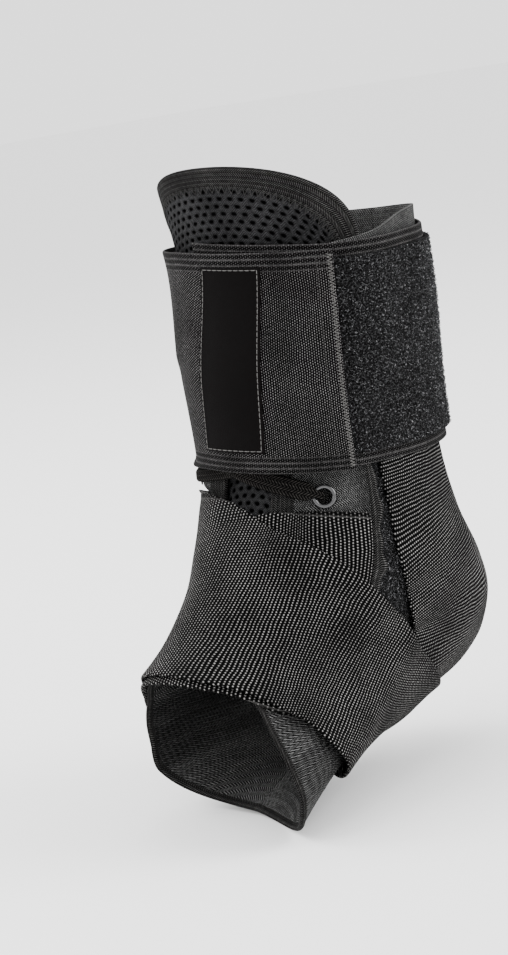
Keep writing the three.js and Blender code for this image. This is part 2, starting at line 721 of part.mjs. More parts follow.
// Straps
function strapLine(table, sign) {
  const rowAt = (share) => lerp(0, table.length - 1, share);
  const numbered = table.map((row, index) => ({ ...row, index }));
  const read = (column, share) => readCurve(numbered, "index", column, rowAt(share));
  return {
    turn: (share) => read("turn", share),
    width: (share) => STRAP_WIDTH * read("width", share),
    place: (share) => ({ station: read("station", share), angle: FRONT_CENTRE - sign * read("turn", share) }),
  };
}

function makeStraps() {
  const first = strapLine(FIRST_STRAP, 1);
  const second = strapLine(SECOND_STRAP, -1);
  const along = shares(54);
  const across = shares(6);
  const firstWall = clothWall({
    place: band(first.place, first.width),
    faces: (place) => [firstStrapInner(place), firstStrapInner(place) + STRAP_THICKNESS],
    along,
    across,
  });
  const secondWall = clothWall({
    place: band(second.place, second.width),
    faces: (place, u) => {
      const inner = secondStrapInner(place, second.turn(u));
      return [inner, inner + STRAP_THICKNESS];
    },
    along,
    across,
  });
  return [namedMesh("strap_first", firstWall, CLOTH), namedMesh("strap_second", secondWall, CLOTH)];
}

function makeSides() {
  return SIDES.flatMap(({ name, sign }) => {
    const pile = clothWall({
      place: (u, v) => ({
        station: lerp(PILE_TOP, PILE_BOTTOM, v),
        angle: FRONT_CENTRE + sign * lerp(PILE_FROM, PILE_TO, u),
      }),
      faces: (place) => [pileInner(place), pileInner(place) + PILE_THICKNESS],
      along: shares(5),
      across: shares(9),
    });
    const slit = clothWall({
      place: (u, v) => ({
        station: lerp(PILE_TOP, SLIT_BOTTOM[name], u),
        angle: FRONT_CENTRE + sign * (SLIT_ANGLE + SLIT_BINDING_WIDTH * DEGREES_PER_MM * v),
      }),
      faces: (place) => [firstStrapInner(place), firstStrapInner(place) + STRAP_THICKNESS],
      along: shares(10),
      across: shares(1),
    });
    return [namedMesh(`pile_${name}`, pile, PILE), namedMesh(`slit_binding_${name}`, slit, CLOTH)];
  });
}

// The cuff, its pile panel and its label patch. level is 0 at the cuff's lower edge and 1 at its upper edge.
function cuffPlace(turn, level) {
  const height = CUFF_HEIGHT * (readCurve(CUFF_COURSE, "turn", "middle", turn) + level - 0.5);
  let [above, below] = [0, LAST_STATION / 2];
  for (let halving = 0; halving < 20; halving++) {
    const middle = (above + below) / 2;
    if (limbPoint(middle, turn).z > height) above = middle;
    else below = middle;
  }
  return { station: above, angle: turn };
}

function makeCuff() {
  const turnAt = (u) => lerp(CUFF_START, CUFF_END, u);
  const strap = clothWall({
    place: (u, v) => cuffPlace(turnAt(u), v),
    faces: (place, u) => [cuffInner(place, turnAt(u)), cuffOuter(place, turnAt(u))],
    along: shares(58),
    across: shares(5),
  });
  const pileTurn = (u) => lerp(CUFF_PILE_FROM, CUFF_PILE_TO, u);
  const pile = clothWall({
    place: (u, v) => cuffPlace(pileTurn(u), lerp(CUFF_PILE_HEM, 1 - CUFF_PILE_HEM, v)),
    faces: (place, u) => {
      const inner = cuffOuter(place, pileTurn(u)) + LAYER_GAP;
      return [inner, inner + PILE_THICKNESS];
    },
    along: shares(12),
    across: shares(4),
  });
  const labelLine = (u) => {
    const [turn, level] = ["turn", "level"].map((key) => lerp(LABEL_TOP[key], LABEL_BOTTOM[key], u));
    return cuffPlace(turn, level + 0.5);
  };
  const label = clothWall({
    place: band(labelLine, () => LABEL_WIDTH),
    faces: (place) => {
      const inner = cuffOuter(place, place.angle) + LAYER_GAP;
      return [inner, inner + LABEL_THICKNESS];
    },
    along: shares(10),
    across: shares(3),
  });
  return [
    namedMesh("cuff_strap", strap, CLOTH),
    namedMesh("cuff_pile", pile, PILE),
    namedMesh("label_patch", label, SATIN),
  ];
}

const group = new THREE.Group();
group.add(...makeTongue(), ...makeBoot(), ...makeEyelets(), ...LACES.map(makeLace));
group.add(...makeStraps(), ...makeSides(), ...makeCuff());

export default group;
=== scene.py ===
import math

import bpy
import numpy as np
from mathutils import Matrix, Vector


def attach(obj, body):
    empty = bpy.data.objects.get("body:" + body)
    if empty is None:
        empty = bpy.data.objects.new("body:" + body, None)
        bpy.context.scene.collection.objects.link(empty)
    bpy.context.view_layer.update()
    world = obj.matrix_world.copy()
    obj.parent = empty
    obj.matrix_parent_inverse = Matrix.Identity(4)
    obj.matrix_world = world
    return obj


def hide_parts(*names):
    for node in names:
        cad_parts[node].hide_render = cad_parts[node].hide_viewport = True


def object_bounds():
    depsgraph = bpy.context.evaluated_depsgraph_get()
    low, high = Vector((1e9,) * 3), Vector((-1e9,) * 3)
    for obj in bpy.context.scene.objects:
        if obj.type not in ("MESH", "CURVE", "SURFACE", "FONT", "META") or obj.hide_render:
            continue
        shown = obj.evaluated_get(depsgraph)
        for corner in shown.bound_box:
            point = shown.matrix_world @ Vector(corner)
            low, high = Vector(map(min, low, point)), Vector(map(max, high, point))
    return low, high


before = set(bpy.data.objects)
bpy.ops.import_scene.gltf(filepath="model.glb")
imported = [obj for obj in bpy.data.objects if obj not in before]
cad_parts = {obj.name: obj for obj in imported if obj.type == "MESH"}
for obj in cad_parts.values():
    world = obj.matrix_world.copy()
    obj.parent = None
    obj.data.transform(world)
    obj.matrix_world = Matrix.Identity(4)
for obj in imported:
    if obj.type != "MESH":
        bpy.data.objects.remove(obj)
CAD_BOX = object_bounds()
MM = 0.001
print("CAD box", [round(value, 4) for corner in CAD_BOX for value in corner])

# %% [markdown]
# The camera comes first. It stands in front of the inner side of the ankle, a little above it, and leans to
# one side, so that the leg runs up the picture with a tilt. Three unit vectors make its turn: right, up, back.
# %% Camera
CAMERA_AZIMUTH, CAMERA_ELEVATION, CAMERA_ROLL = np.radians([45.0, 9.5, -9.4])
CAMERA_TARGET = np.array([-17.0, -17.0, 22.0]) * MM
CAMERA_DISTANCE = 0.855
CAMERA_LENS = 91.87

back = np.array([
    math.sin(CAMERA_AZIMUTH) * math.cos(CAMERA_ELEVATION),
    -math.cos(CAMERA_AZIMUTH) * math.cos(CAMERA_ELEVATION),
    math.sin(CAMERA_ELEVATION),
])
level = np.array([math.cos(CAMERA_AZIMUTH), math.sin(CAMERA_AZIMUTH), 0.0])
upright = np.cross(back, level)
right = level * math.cos(CAMERA_ROLL) + upright * math.sin(CAMERA_ROLL)
above = upright * math.cos(CAMERA_ROLL) - level * math.sin(CAMERA_ROLL)

camera = bpy.data.objects.new("camera", bpy.data.cameras.new("camera"))
camera.data.lens = CAMERA_LENS
camera.data.sensor_width = 36
place = np.eye(4)
place[:3, :4] = np.stack([right, above, back, CAMERA_TARGET + back * CAMERA_DISTANCE], axis=1)
camera.matrix_world = Matrix(place.tolist())
bpy.context.scene.collection.objects.link(camera)
bpy.context.scene.camera = camera
print("camera at", np.round(place[:3, 3], 3))

# %% [markdown]
# The limb is the form that the cloth is shaped over. Its sections run from the leg down over the instep to the
# midfoot. Each is a closed curve through a front and a back point. A place on it is a station, counted along
# the sections, and an angle: 0 is the front, 90 the inner side, 180 the back.
# %% Limb
LEG_HEIGHT, FOOT_DROP, FRONT_REACH, HEEL_REACH, LIMB_WIDTH = 140.0, 96.0, 110.0, 66.0, 68.0
SECTION_POWER = 2.1
SECTIONS = np.array([
    [0.36, 1.0, -0.72, 1.0, 1.17, 0.5],
    [0.305, 0.72, -0.7, 0.72, 1.1, 0.5],
    [0.31, 0.44, -0.65, 0.44, 0.97, 0.5],
    [0.315, 0.21, -0.65, 0.17, 0.93, 0.5],
    [0.365, 0.085, -0.715, -0.02, 1.0, 0.5],
    [0.435, 0.0, -0.9, -0.25, 0.985, 0.5],
    [0.505, -0.115, -0.98, -0.43, 0.925, 0.48],
    [0.585, -0.22, -0.67, -0.6, 0.915, 0.47],
    [0.665, -0.31, -0.12, -0.67, 0.94, 0.5],
    [0.78, -0.405, 0.38, -0.735, 1.03, 0.52],
    [0.9, -0.5, 0.86, -0.86, 1.15, 0.55],
    [1.02, -0.605, 1.27, -1.0, 1.26, 0.58],
])
LAST_STATION = len(SECTIONS) - 1.0


def heights(shares):
    """Shares above zero count in leg heights, and below it in foot drops."""
    return shares * np.where(shares > 0, LEG_HEIGHT, FOOT_DROP)


LIMB = np.stack([
    SECTIONS[:, 0] * FRONT_REACH,
    heights(SECTIONS[:, 1]),
    SECTIONS[:, 2] * HEEL_REACH,
    heights(SECTIONS[:, 3]),
    SECTIONS[:, 4] * LIMB_WIDTH / 2,
    SECTIONS[:, 5],
])

print("sections", len(SECTIONS))

# %% [markdown]
# A few small helpers follow. Steps between layers have to be smooth, or the cloth shows a crease, so they are
# made of one smooth step. A table is read as a smooth curve through its rows.
# %% Smooth steps and curves
def lerp(low, high, share):
    """low at 0 and high at 1, on a straight line."""
    return low + (high - low) * share


def rise(value, low, high):
    """Smoothly from 0 at low to 1 at high: 3s squared minus 2s cubed."""
    share = np.clip((value - low) / (high - low), 0, 1)
    return share * share * (3 - 2 * share)


def plateau(value, low, high, clear, ramp):
    """1 between low and high, falling to 0 over a ramp on each side that starts clear of them."""
    return rise(value, low - clear - ramp, low - clear) * (1 - rise(value, high + clear, high + clear + ramp))


def read_curve(keys, values, at):
    """A cubic through the rows, whose slope at a row is that between the rows before and after it."""
    keys, values, at = np.asarray(keys, float), np.asarray(values, float), np.asarray(at, float)
    a = np.clip(np.searchsorted(keys[1:], at), 0, len(keys) - 2)
    b, before, after = a + 1, np.maximum(a - 1, 0), np.minimum(a + 2, len(keys) - 1)
    span = keys[b] - keys[a]
    s = np.clip((at - keys[a]) / span, 0, 1)
    slope_in = (values[..., b] - values[..., before]) / (keys[b] - keys[before]) * span
    slope_out = (values[..., after] - values[..., a]) / (keys[after] - keys[a]) * span
    return (
        values[..., a] * (2 * s**3 - 3 * s**2 + 1)
        + slope_in * (s**3 - 2 * s**2 + s)
        + values[..., b] * (3 * s**2 - 2 * s**3)
        + slope_out * (s**3 - s**2)
    )


print("half way up a smooth step", float(rise(0.5, 0, 1)))

# %% [markdown]
# With the table read as curves, any place on the limb has a point and an outward direction. A piece of cloth
# stands a few millimetres off that point along that direction.
# %% Limb surface
def squarer(value, power):
    """Keeps the sign and takes the size to the power 2 / power, which squares a circle up."""
    return np.sign(value) * np.abs(value) ** (2 / power)


def limb_point(station, angle):
    """The section at a station, read at an angle: a squared-up ellipse from its front to its back point."""
    station, angle = np.broadcast_arrays(np.asarray(station, float), np.asarray(angle, float))
    front, front_z, rear, rear_z, half, widest = read_curve(np.arange(LAST_STATION + 1), LIMB, station)
    forward = squarer(np.cos(np.radians(angle)), SECTION_POWER)
    share = np.where(forward > 0, widest * (1 - forward), widest - (1 - widest) * forward)
    x = half * squarer(np.sin(np.radians(angle)), SECTION_POWER)
    return np.stack([x, -lerp(front, rear, share), lerp(front_z, rear_z, share)], axis=-1)


def unit(vectors):
    """Each vector at length 1."""
    return vectors / np.maximum(np.linalg.norm(vectors, axis=-1, keepdims=True), 1e-9)


STATION_NUDGE, ANGLE_NUDGE = 0.04, 1.5


def limb_normal(station, angle):
    """Across the two directions of the surface, outwards."""
    low, high = np.maximum(station - STATION_NUDGE, 0), np.minimum(station + STATION_NUDGE, LAST_STATION)
    along = limb_point(high, angle) - limb_point(low, angle)
    around = limb_point(station, angle + ANGLE_NUDGE) - limb_point(station, angle - ANGLE_NUDGE)
    return unit(np.cross(along, around))


def raised(station, angle, lift):
    """The point that stands lift off the limb."""
    return limb_point(station, angle) + limb_normal(station, angle) * np.asarray(lift)[..., None]


print("limb from", np.round(limb_point(0, 0)), "to", np.round(limb_point(LAST_STATION, 0)))

# %% [markdown]
# Straps are cut straight, so their width is walked out over the cloth from their middle line: small steps along
# the surface, with the heading kept flat on it. A flat strap laid on a curved limb does the same.
# %% Bands
WALK_LIFT = 5.0
WALK_STEPS = 12
DEGREES_PER_MM = 360 / (math.pi * (LIMB_WIDTH + 2 * WALK_LIFT))


def stations_per_mm(station, angle):
    """How far the station moves along the cloth in a millimetre."""
    ends = [raised(station + nudge, angle, WALK_LIFT) for nudge in (-STATION_NUDGE, STATION_NUDGE)]
    return 2 * STATION_NUDGE / np.linalg.norm(ends[1] - ends[0], axis=-1)


def walk(station, angle, heading, distance):
    """Steps over the surface: each step solves for the change of station and angle that moves along heading."""
    stride = distance / WALK_STEPS
    for _ in range(WALK_STEPS):
        here = raised(station, angle, WALK_LIFT)
        nudge = np.where(station < LAST_STATION - 1, STATION_NUDGE, -STATION_NUDGE)
        along = (raised(station + nudge, angle, WALK_LIFT) - here) / nudge[..., None]
        around = (raised(station, angle + ANGLE_NUDGE, WALK_LIFT) - here) / ANGLE_NUDGE
        normal = limb_normal(station, angle)
        heading = unit(heading - normal * np.sum(heading * normal, -1, keepdims=True))
        e, f, g = np.sum(along * along, -1), np.sum(along * around, -1), np.sum(around * around, -1)
        p, q = np.sum(heading * along, -1), np.sum(heading * around, -1)
        flat = e * g - f * f
        station = np.clip(station + stride * (g * p - f * q) / flat, 0, LAST_STATION)
        angle = angle + stride * (e * q - f * p) / flat
    return station, angle


def band(line, width, u, v):
    """Places of a band: u along a line, and v across it, walked at right angles to the line."""
    station, angle = line(u)
    ahead = raised(*line(np.minimum(1, u + 0.01)), WALK_LIFT)
    behind = raised(*line(np.maximum(0, u - 0.01)), WALK_LIFT)
    heading = unit(np.cross(ahead - behind, limb_normal(station, angle)))
    shape = (len(u), len(v))
    grid = lambda values: np.broadcast_to(values[:, None], shape).copy()
    heading = np.broadcast_to(heading[:, None, :], (*shape, 3))
    return walk(grid(station), grid(angle), heading, width(u)[:, None] * (v[None, :] - 0.5))


print("degrees round the leg in a millimetre of cloth", round(DEGREES_PER_MM, 3))

# %% [markdown]
# Every mesh is made from whole arrays of points and faces. A mesh could be built vertex by vertex, but the loop
# pile alone has hundreds of thousands of them.
# %% Meshes
def spaced(count, edge=0.0):
    """Even shares from 0 to 1, with three more close to each end when edge is given."""
    if not edge:
        return np.linspace(0, 1, count + 1)
    near = edge * np.array([0, 0.12, 0.45])
    return np.concatenate([near, np.linspace(edge, 1 - edge, count + 1), 1 - near[::-1]])


def lengths(points, axis):
    """The distance travelled over the points along an axis, from its first row."""
    steps = np.linalg.norm(np.diff(points, axis=axis), axis=-1)
    start = np.zeros_like(np.take(steps, [0], axis=axis))
    return np.concatenate([start, np.cumsum(steps, axis=axis)], axis=axis)


def put_mesh(name, points, faces, uv=None, smooth=None):
    """Makes an object of points in mm and faces with four corners; uv has one row per corner."""
    used, index = np.unique(faces, return_inverse=True)
    faces = index.reshape(-1, 4)
    mesh = bpy.data.meshes.new(name)
    mesh.vertices.add(len(used))
    mesh.vertices.foreach_set("co", (points[used] * MM).ravel())
    mesh.loops.add(faces.size)
    mesh.loops.foreach_set("vertex_index", faces.ravel())
    mesh.polygons.add(len(faces))
    mesh.polygons.foreach_set("loop_start", np.arange(len(faces)) * 4)
    mesh.polygons.foreach_set("use_smooth", np.ones(len(faces), bool) if smooth is None else smooth)
    if uv is not None:
        mesh.uv_layers.new(name="cloth").uv.foreach_set("vector", uv.astype(np.float32).ravel())
    mesh.update(calc_edges=True)
    mesh.validate()
    made = bpy.data.objects.new(name, mesh)
    bpy.context.scene.collection.objects.link(made)
    return made


print("shares with three close to each end", np.round(spaced(2, 0.1), 3))

# %% [markdown]
# Each piece of cloth is a closed wall: an inner and an outer sheet of points on one grid, joined by a rim. The
# rim goes wherever a kept face has no neighbour, so an opening is made by leaving faces out. The sheets draw
# together at the edge, as a turned or woven edge does. The UV map holds millimetres along and across the cloth,
# so that a weave keeps its real size.
# %% Cloth walls
def four_corners(grid):
    """The numbers at the corners of each face of a grid, in order round it."""
    return np.stack([grid[:-1, :-1], grid[1:, :-1], grid[1:, 1:], grid[:-1, 1:]], -1).reshape(-1, 4)


def cloth_wall(name, places, low, high, uv, keep=None, ring=False, edge=None, edge_round=0.7):
    """Points at low and high over the places. edge is each point's distance to the border in mm: within
    edge_round of it the wall thins as a quarter circle does."""
    station, angle = places
    if edge is not None:
        inside = np.clip(edge / edge_round, 0, 1)
        half = (high - low) / 2 * np.maximum(np.sqrt(1 - (1 - inside) ** 2), 0.18)
        low, high = (high + low) / 2 - half, (high + low) / 2 + half
    sheets = [raised(station, angle, lift) for lift in (low, high)]
    rows, columns = station.shape
    number = np.arange(rows * columns).reshape(rows, columns)
    if ring:
        number[-1] = number[0]
    corner = np.arange(rows * columns).reshape(rows, columns)
    quads, corners = four_corners(number), four_corners(corner)
    if keep is not None:
        chosen = four_corners(keep).all(1)
        quads, corners = quads[chosen], corners[chosen]
    starts, ends = quads.ravel(), np.roll(quads, -1, axis=1).ravel()
    ties = np.sort(np.stack([starts, ends], 1), axis=1)
    _, where, uses = np.unique(ties, axis=0, return_inverse=True, return_counts=True)
    alone = uses[where.ravel()] == 1
    rim_corners = np.stack([np.roll(corners, -1, axis=1).ravel(), corners.ravel()], 1)[alone]
    rim = np.stack([ends, starts], 1)[alone]
    total = rows * columns
    faces = np.concatenate([
        quads + total,
        quads[:, ::-1],
        np.concatenate([rim + total, rim[:, ::-1]], axis=1),
    ])
    rim_corners = np.concatenate([rim_corners, rim_corners[:, ::-1]], axis=1)
    corners = np.concatenate([corners, corners[:, ::-1], rim_corners])
    points = np.concatenate([sheet.reshape(-1, 3) for sheet in sheets])
    a, b, c = (points[faces[:, k]] for k in (0, 1, 2))
    if np.sum(a * np.cross(b, c)) + np.sum(points[faces[:, 0]] * np.cross(c, points[faces[:, 3]])) < 0:
        faces, corners = faces[:, ::-1], corners[:, ::-1]
    smooth = np.arange(len(faces)) < 2 * len(quads)
    flat = np.stack([np.broadcast_to(axis, (rows, columns)) for axis in uv], -1).reshape(-1, 2)
    return put_mesh(name, points, faces, flat[corners.ravel()], smooth)


# %% [markdown]
# A thread, and the rolled edge of a hem, are tubes: a small circle carried along a path.
# %% Threads
def tube(name, path, radius, sides=5, closed=False, along=None):
    """A circle carried along path. Its two axes are at right angles to the path's direction."""
    count = len(path)
    ahead = np.roll(path, -1, 0) - np.roll(path, 1, 0) if closed else np.gradient(path, axis=0)
    direction = unit(ahead)
    helper = along if along is not None else np.array([0.31, 0.17, 0.93])
    first = unit(np.cross(direction, np.broadcast_to(helper, path.shape)))
    second = np.cross(direction, first)
    turn = np.linspace(0, 2 * np.pi, sides, endpoint=False)
    size = np.broadcast_to(np.asarray(radius, float), (count,)).copy()
    if not closed:
        size[[0, -1]] *= 0.05
    rings = path[:, None] + size[:, None, None] * (
        np.cos(turn)[None, :, None] * first[:, None] + np.sin(turn)[None, :, None] * second[:, None]
    )
    number = np.arange(count * sides).reshape(count, sides)
    number = np.concatenate([number, number[:1]]) if closed else number
    next_side = np.roll(number, -1, axis=1)
    faces = np.stack([number[:-1], next_side[:-1], next_side[1:], number[1:]], -1).reshape(-1, 4)
    travelled = np.repeat(lengths(path, 0), sides)
    uv = np.stack([travelled, np.tile(turn, count)], -1)[faces.ravel() % (count * sides)]
    return put_mesh(name, rings.reshape(-1, 3), faces, uv)


# %% [markdown]
# Finishes. The whole brace is black, so what tells its parts apart is how each one is woven. A picture could be
# wrapped over the cloth, but a weave is regular, and waves of the two UV coordinates draw it at any distance.
# Each finish gives a height for the bump and a tone between the dark ground and the lit yarn, and that lit yarn
# is a painted highlight.
# %% Finish helpers
def add(tree, kind, *values, **settings):
    """Adds a node; each value goes to the input of the same number, as a link or a number."""
    made = tree.nodes.new(kind)
    for key, value in settings.items():
        setattr(made, key, value)
    for number, value in enumerate(values):
        if isinstance(value, bpy.types.NodeSocket):
            tree.links.new(value, made.inputs[number])
        elif value is not None:
            made.inputs[number].default_value = value
    return made


def calc(tree, operation, *values):
    """One Math node."""
    return add(tree, "ShaderNodeMath", *values, operation=operation).outputs[0]


def wave(tree, value, pitch, phase=0.0):
    """0 to 1 and back in each pitch, as a cosine."""
    turns = calc(tree, "MULTIPLY_ADD", value, 2 * math.pi / pitch, phase)
    return calc(tree, "MULTIPLY_ADD", calc(tree, "COSINE", turns), 0.5, 0.5)


def noise(tree, vector, scale, detail=2.0):
    """A cloudy value from 0 to 1."""
    made = add(tree, "ShaderNodeTexNoise", vector)
    made.inputs["Scale"].default_value = scale
    made.inputs["Detail"].default_value = detail
    return made.outputs[0]


def start_finish(name):
    """A material, its node tree, and the cloth's coordinates in mm: along, across and both as a vector."""
    made = bpy.data.materials.new(name)
    made.use_nodes = True
    tree = made.node_tree
    cloth = add(tree, "ShaderNodeUVMap", uv_map="cloth").outputs[0]
    parts = add(tree, "ShaderNodeSeparateXYZ", cloth)
    return made, tree, parts.outputs[0], parts.outputs[1], cloth


CLOTH_SPECULAR = 0.02
CLOUDS_PER_MM = 0.05


def end_finish(made, tree, cloth, tone, height, dark, light, depth, roughness=0.8):
    """Mixes dark to light by tone, which is painted highlight, in clouds that vary it a little: partly at
    random, and on the straps also as painted shade of soft folds. It bumps the surface by height times depth."""
    shader = tree.nodes["Principled BSDF"]
    clouds = calc(tree, "MULTIPLY_ADD", noise(tree, cloth, CLOUDS_PER_MM, 3.0), 1.9, 0.02)
    shade = calc(tree, "MULTIPLY", tone, clouds)
    mix = add(tree, "ShaderNodeMix", shade, data_type="RGBA")
    mix.inputs[6].default_value = (*dark, 1)
    mix.inputs[7].default_value = (*light, 1)
    tree.links.new(mix.outputs[2], shader.inputs["Base Color"])
    bump = add(tree, "ShaderNodeBump")
    bump.inputs["Distance"].default_value = depth * MM
    tree.links.new(height, bump.inputs["Height"])
    tree.links.new(bump.outputs[0], shader.inputs["Normal"])
    shader.inputs["Roughness"].default_value = roughness
    shader.inputs["Specular IOR Level"].default_value = CLOTH_SPECULAR
    made.diffuse_color = (*dark, 1)
    return made


# %% [markdown]
# Elastic webbing has ribs across its length. The lit yarn on each rib is a row of beads of painted highlight,
# and the beads of neighbouring ribs are staggered. Along both edges of the cuff runs a
# selvedge of three raised cords, whose tops get a painted highlight too. The straps have none, so theirs is put
# past the edge of the cloth.
# %% Webbing finish
SELVEDGE, SELVEDGE_PITCH = 6.6, 2.2
CUFF_HALF_HEIGHT, PAST_THE_EDGE = 38, 40


def webbing(name, rib, bead, half_width, dark, light, depth):
    """Ribs are a wave along the strap, beads a wave across it, shifted by half a bead on every other rib. The
    painted highlight of the lit yarn is where both are high, and the rib's wave has the higher power, so a bead
    is thin and long."""
    made, tree, u, v, cloth = start_finish(name)
    wander = calc(tree, "MULTIPLY_ADD", noise(tree, cloth, 0.12), 1.2, u)
    ridge = wave(tree, wander, rib)
    row = calc(tree, "FLOOR", calc(tree, "MULTIPLY_ADD", wander, 1 / rib, 0.5))
    shift = calc(tree, "MULTIPLY_ADD", row, bead / 2, v)
    beads = wave(tree, shift, bead)
    height = calc(tree, "MULTIPLY", ridge, calc(tree, "MULTIPLY_ADD", beads, 0.7, 0.3))
    bead_highlight = calc(tree, "MULTIPLY", calc(tree, "POWER", ridge, 4.5), calc(tree, "POWER", beads, 1.8))
    uneven = calc(tree, "MULTIPLY_ADD", noise(tree, cloth, 0.9, 1.0), 1.8, -0.1)
    inwards = calc(tree, "SUBTRACT", half_width, calc(tree, "ABSOLUTE", v))
    border = calc(tree, "LESS_THAN", inwards, SELVEDGE)
    cord = calc(tree, "MULTIPLY", calc(tree, "POWER", wave(tree, inwards, SELVEDGE_PITCH), 3.0), border)
    height = calc(tree, "MULTIPLY_ADD", cord, 1.2, height)
    quiet = calc(tree, "MULTIPLY_ADD", border, -0.6, 1.0)
    # The lit cords and beads are painted highlight; near the edge the cords take over from the beads.
    bright = calc(tree, "MULTIPLY_ADD", cord, 0.16, calc(tree, "MULTIPLY", bead_highlight, quiet))
    return end_finish(made, tree, cloth, calc(tree, "MULTIPLY", bright, uneven), height, dark, light, depth)


# The second colour of each webbing is the painted highlight of its lit yarn.
STRAP_WEBBING = webbing(
    "strap_webbing", 1.2, 0.95, PAST_THE_EDGE, (0.0004, 0.0004, 0.0004), (0.36, 0.351, 0.343), 0.45
)
CUFF_WEBBING = webbing(
    "cuff_webbing", 0.78, 0.9, CUFF_HALF_HEIGHT, (0.0008, 0.0008, 0.0008), (0.27, 0.26, 0.26), 0.4
)
print("webbing finishes", STRAP_WEBBING.name, CUFF_WEBBING.name)

# %% [markdown]
# The boot is a fine woven nylon and the bindings are herringbone tape: slanting lines that turn back on
# themselves. A wave of the sum of the two coordinates slants, and folding one coordinate makes it turn back.
# %% Boot, tape, lace and label finishes
def herringbone(name, pitch, stripe, dark, light, depth, roughness=0.85, crease=0.55):
    """Lines along u plus v, with v folded at each stripe. The raised lines carry a painted highlight, and the
    crease share takes it down along the turns of the stripes as painted shade.
    """
    made, tree, u, v, cloth = start_finish(name)
    folded = calc(tree, "PINGPONG", v, stripe)
    lines = wave(tree, calc(tree, "ADD", u, folded), pitch)
    cross = wave(tree, v, pitch * 0.8)
    height = calc(tree, "MULTIPLY", lines, calc(tree, "MULTIPLY_ADD", cross, 0.3, 0.7))
    uneven = calc(tree, "MULTIPLY_ADD", noise(tree, cloth, 0.8), 1.4, 0.0)
    turning = calc(tree, "MULTIPLY_ADD", wave(tree, v, stripe), -crease, 1.0)
    # Painted highlight on the raised lines, with painted shade along the turns.
    lit = calc(tree, "MULTIPLY", calc(tree, "POWER", height, 2.4), turning)
    tone = calc(tree, "MULTIPLY", lit, uneven)
    return end_finish(made, tree, cloth, tone, height, dark, light, depth, roughness)


# The second colour of each is the painted highlight of its lit yarn. The slit tape's is brighter, for the
# painted highlight along its rolled edge.
BOOT_CLOTH = herringbone(
    "boot_cloth", 0.85, 2.1, (0.0007, 0.0007, 0.0007), (0.27, 0.27, 0.267), 0.4, crease=0.1
)
TAPE = herringbone("binding_tape", 0.8, 1.5, (0.0008, 0.0008, 0.0008), (0.135, 0.132, 0.129), 0.4)
SLIT_TAPE = herringbone("slit_tape", 0.8, 1.3, (0.001, 0.001, 0.001), (0.17, 0.167, 0.163), 0.3)
LACE_BRAID = herringbone("lace_braid", 1.1, 1.6, (0.001, 0.0009, 0.0009), (0.07, 0.065, 0.061), 0.4)
SATIN = herringbone("label_satin", 0.3, 0.3, (0.0022, 0.0019, 0.0019), (0.005, 0.0043, 0.0043), 0.05, 0.6)

# %% [markdown]
# The tongue is spacer mesh: a knitted face with staggered holes over a soft core. The holes are dimples in the
# shape itself, and the finish darkens them with painted shade and draws the knitted yarn between them.
# %% Mesh, pile, thread and enamel finishes
HOLE_PITCH, HOLE_ROW = 3.9, 2.6


def mesh_finish():
    """Holes where two waves that are half a pitch apart on every other row meet, painted dark as shade in them,
    and fine yarn between.
    """
    made, tree, u, v, cloth = start_finish("spacer_mesh")
    row = calc(tree, "FLOOR", calc(tree, "MULTIPLY_ADD", u, 1 / HOLE_ROW, 0.5))
    across = wave(tree, calc(tree, "MULTIPLY_ADD", row, HOLE_PITCH / 2, v), HOLE_PITCH)
    hole = calc(tree, "MULTIPLY", wave(tree, u, HOLE_ROW), across)
    # The holes are painted dark: painted shade in the dimples.
    solid = calc(tree, "SUBTRACT", 1.0, calc(tree, "MULTIPLY", calc(tree, "POWER", hole, 2.0), 2.2))
    yarn = wave(tree, calc(tree, "ADD", u, calc(tree, "PINGPONG", v, HOLE_PITCH / 2)), 0.8)
    height = calc(tree, "MULTIPLY_ADD", yarn, 0.25, solid)
    lit = calc(tree, "MULTIPLY_ADD", yarn, 0.7, 0.3)
    bright = calc(tree, "MULTIPLY", calc(tree, "MAXIMUM", solid, 0.0), lit)
    tone = calc(tree, "MULTIPLY", bright, calc(tree, "MULTIPLY_ADD", noise(tree, cloth, 0.9), 1.4, 0.1))
    return end_finish(made, tree, cloth, tone, height, (0.0002, 0.0002, 0.0002), (0.034, 0.034, 0.0355), 0.5)


def pile_finish():
    """One fine noise: it makes the clumps of the bump, and taken to a high power it gives a painted highlight
    on the ends of the loops.
    """
    made, tree, u, v, cloth = start_finish("loop_pile")
    fine = noise(tree, cloth, 1.6, 4.0)
    # Painted highlight on the loop ends.
    tone = calc(tree, "POWER", calc(tree, "MULTIPLY", fine, 1.4), 8.0)
    return end_finish(made, tree, cloth, tone, fine, (0.0004, 0.0004, 0.0004), (0.08, 0.08, 0.083), 0.8)


GRAINS_PER_M = 1500.0


def plain_finish(name, colour, roughness, metallic=0.0, coat=0.0, spread=0.4, sharp=1.0, specular=0.06):
    """One colour that is cloudy by a spread either way, for thread, loops and enamel."""
    made = bpy.data.materials.new(name)
    made.use_nodes = True
    tree = made.node_tree
    shader = tree.nodes["Principled BSDF"]
    spot = add(tree, "ShaderNodeTexCoord").outputs["Object"]
    cloud = calc(tree, "POWER", calc(tree, "MULTIPLY", noise(tree, spot, GRAINS_PER_M), 1.35), sharp)
    mix = add(tree, "ShaderNodeMix", cloud, data_type="RGBA")
    mix.inputs[6].default_value = (*[c * (1 - spread) for c in colour], 1)
    mix.inputs[7].default_value = (*[c * (1 + spread) for c in colour], 1)
    tree.links.new(mix.outputs[2], shader.inputs["Base Color"])
    shader.inputs["Roughness"].default_value = roughness
    shader.inputs["Metallic"].default_value = metallic
    shader.inputs["Coat Weight"].default_value = coat
    shader.inputs["Specular IOR Level"].default_value = specular
    return made


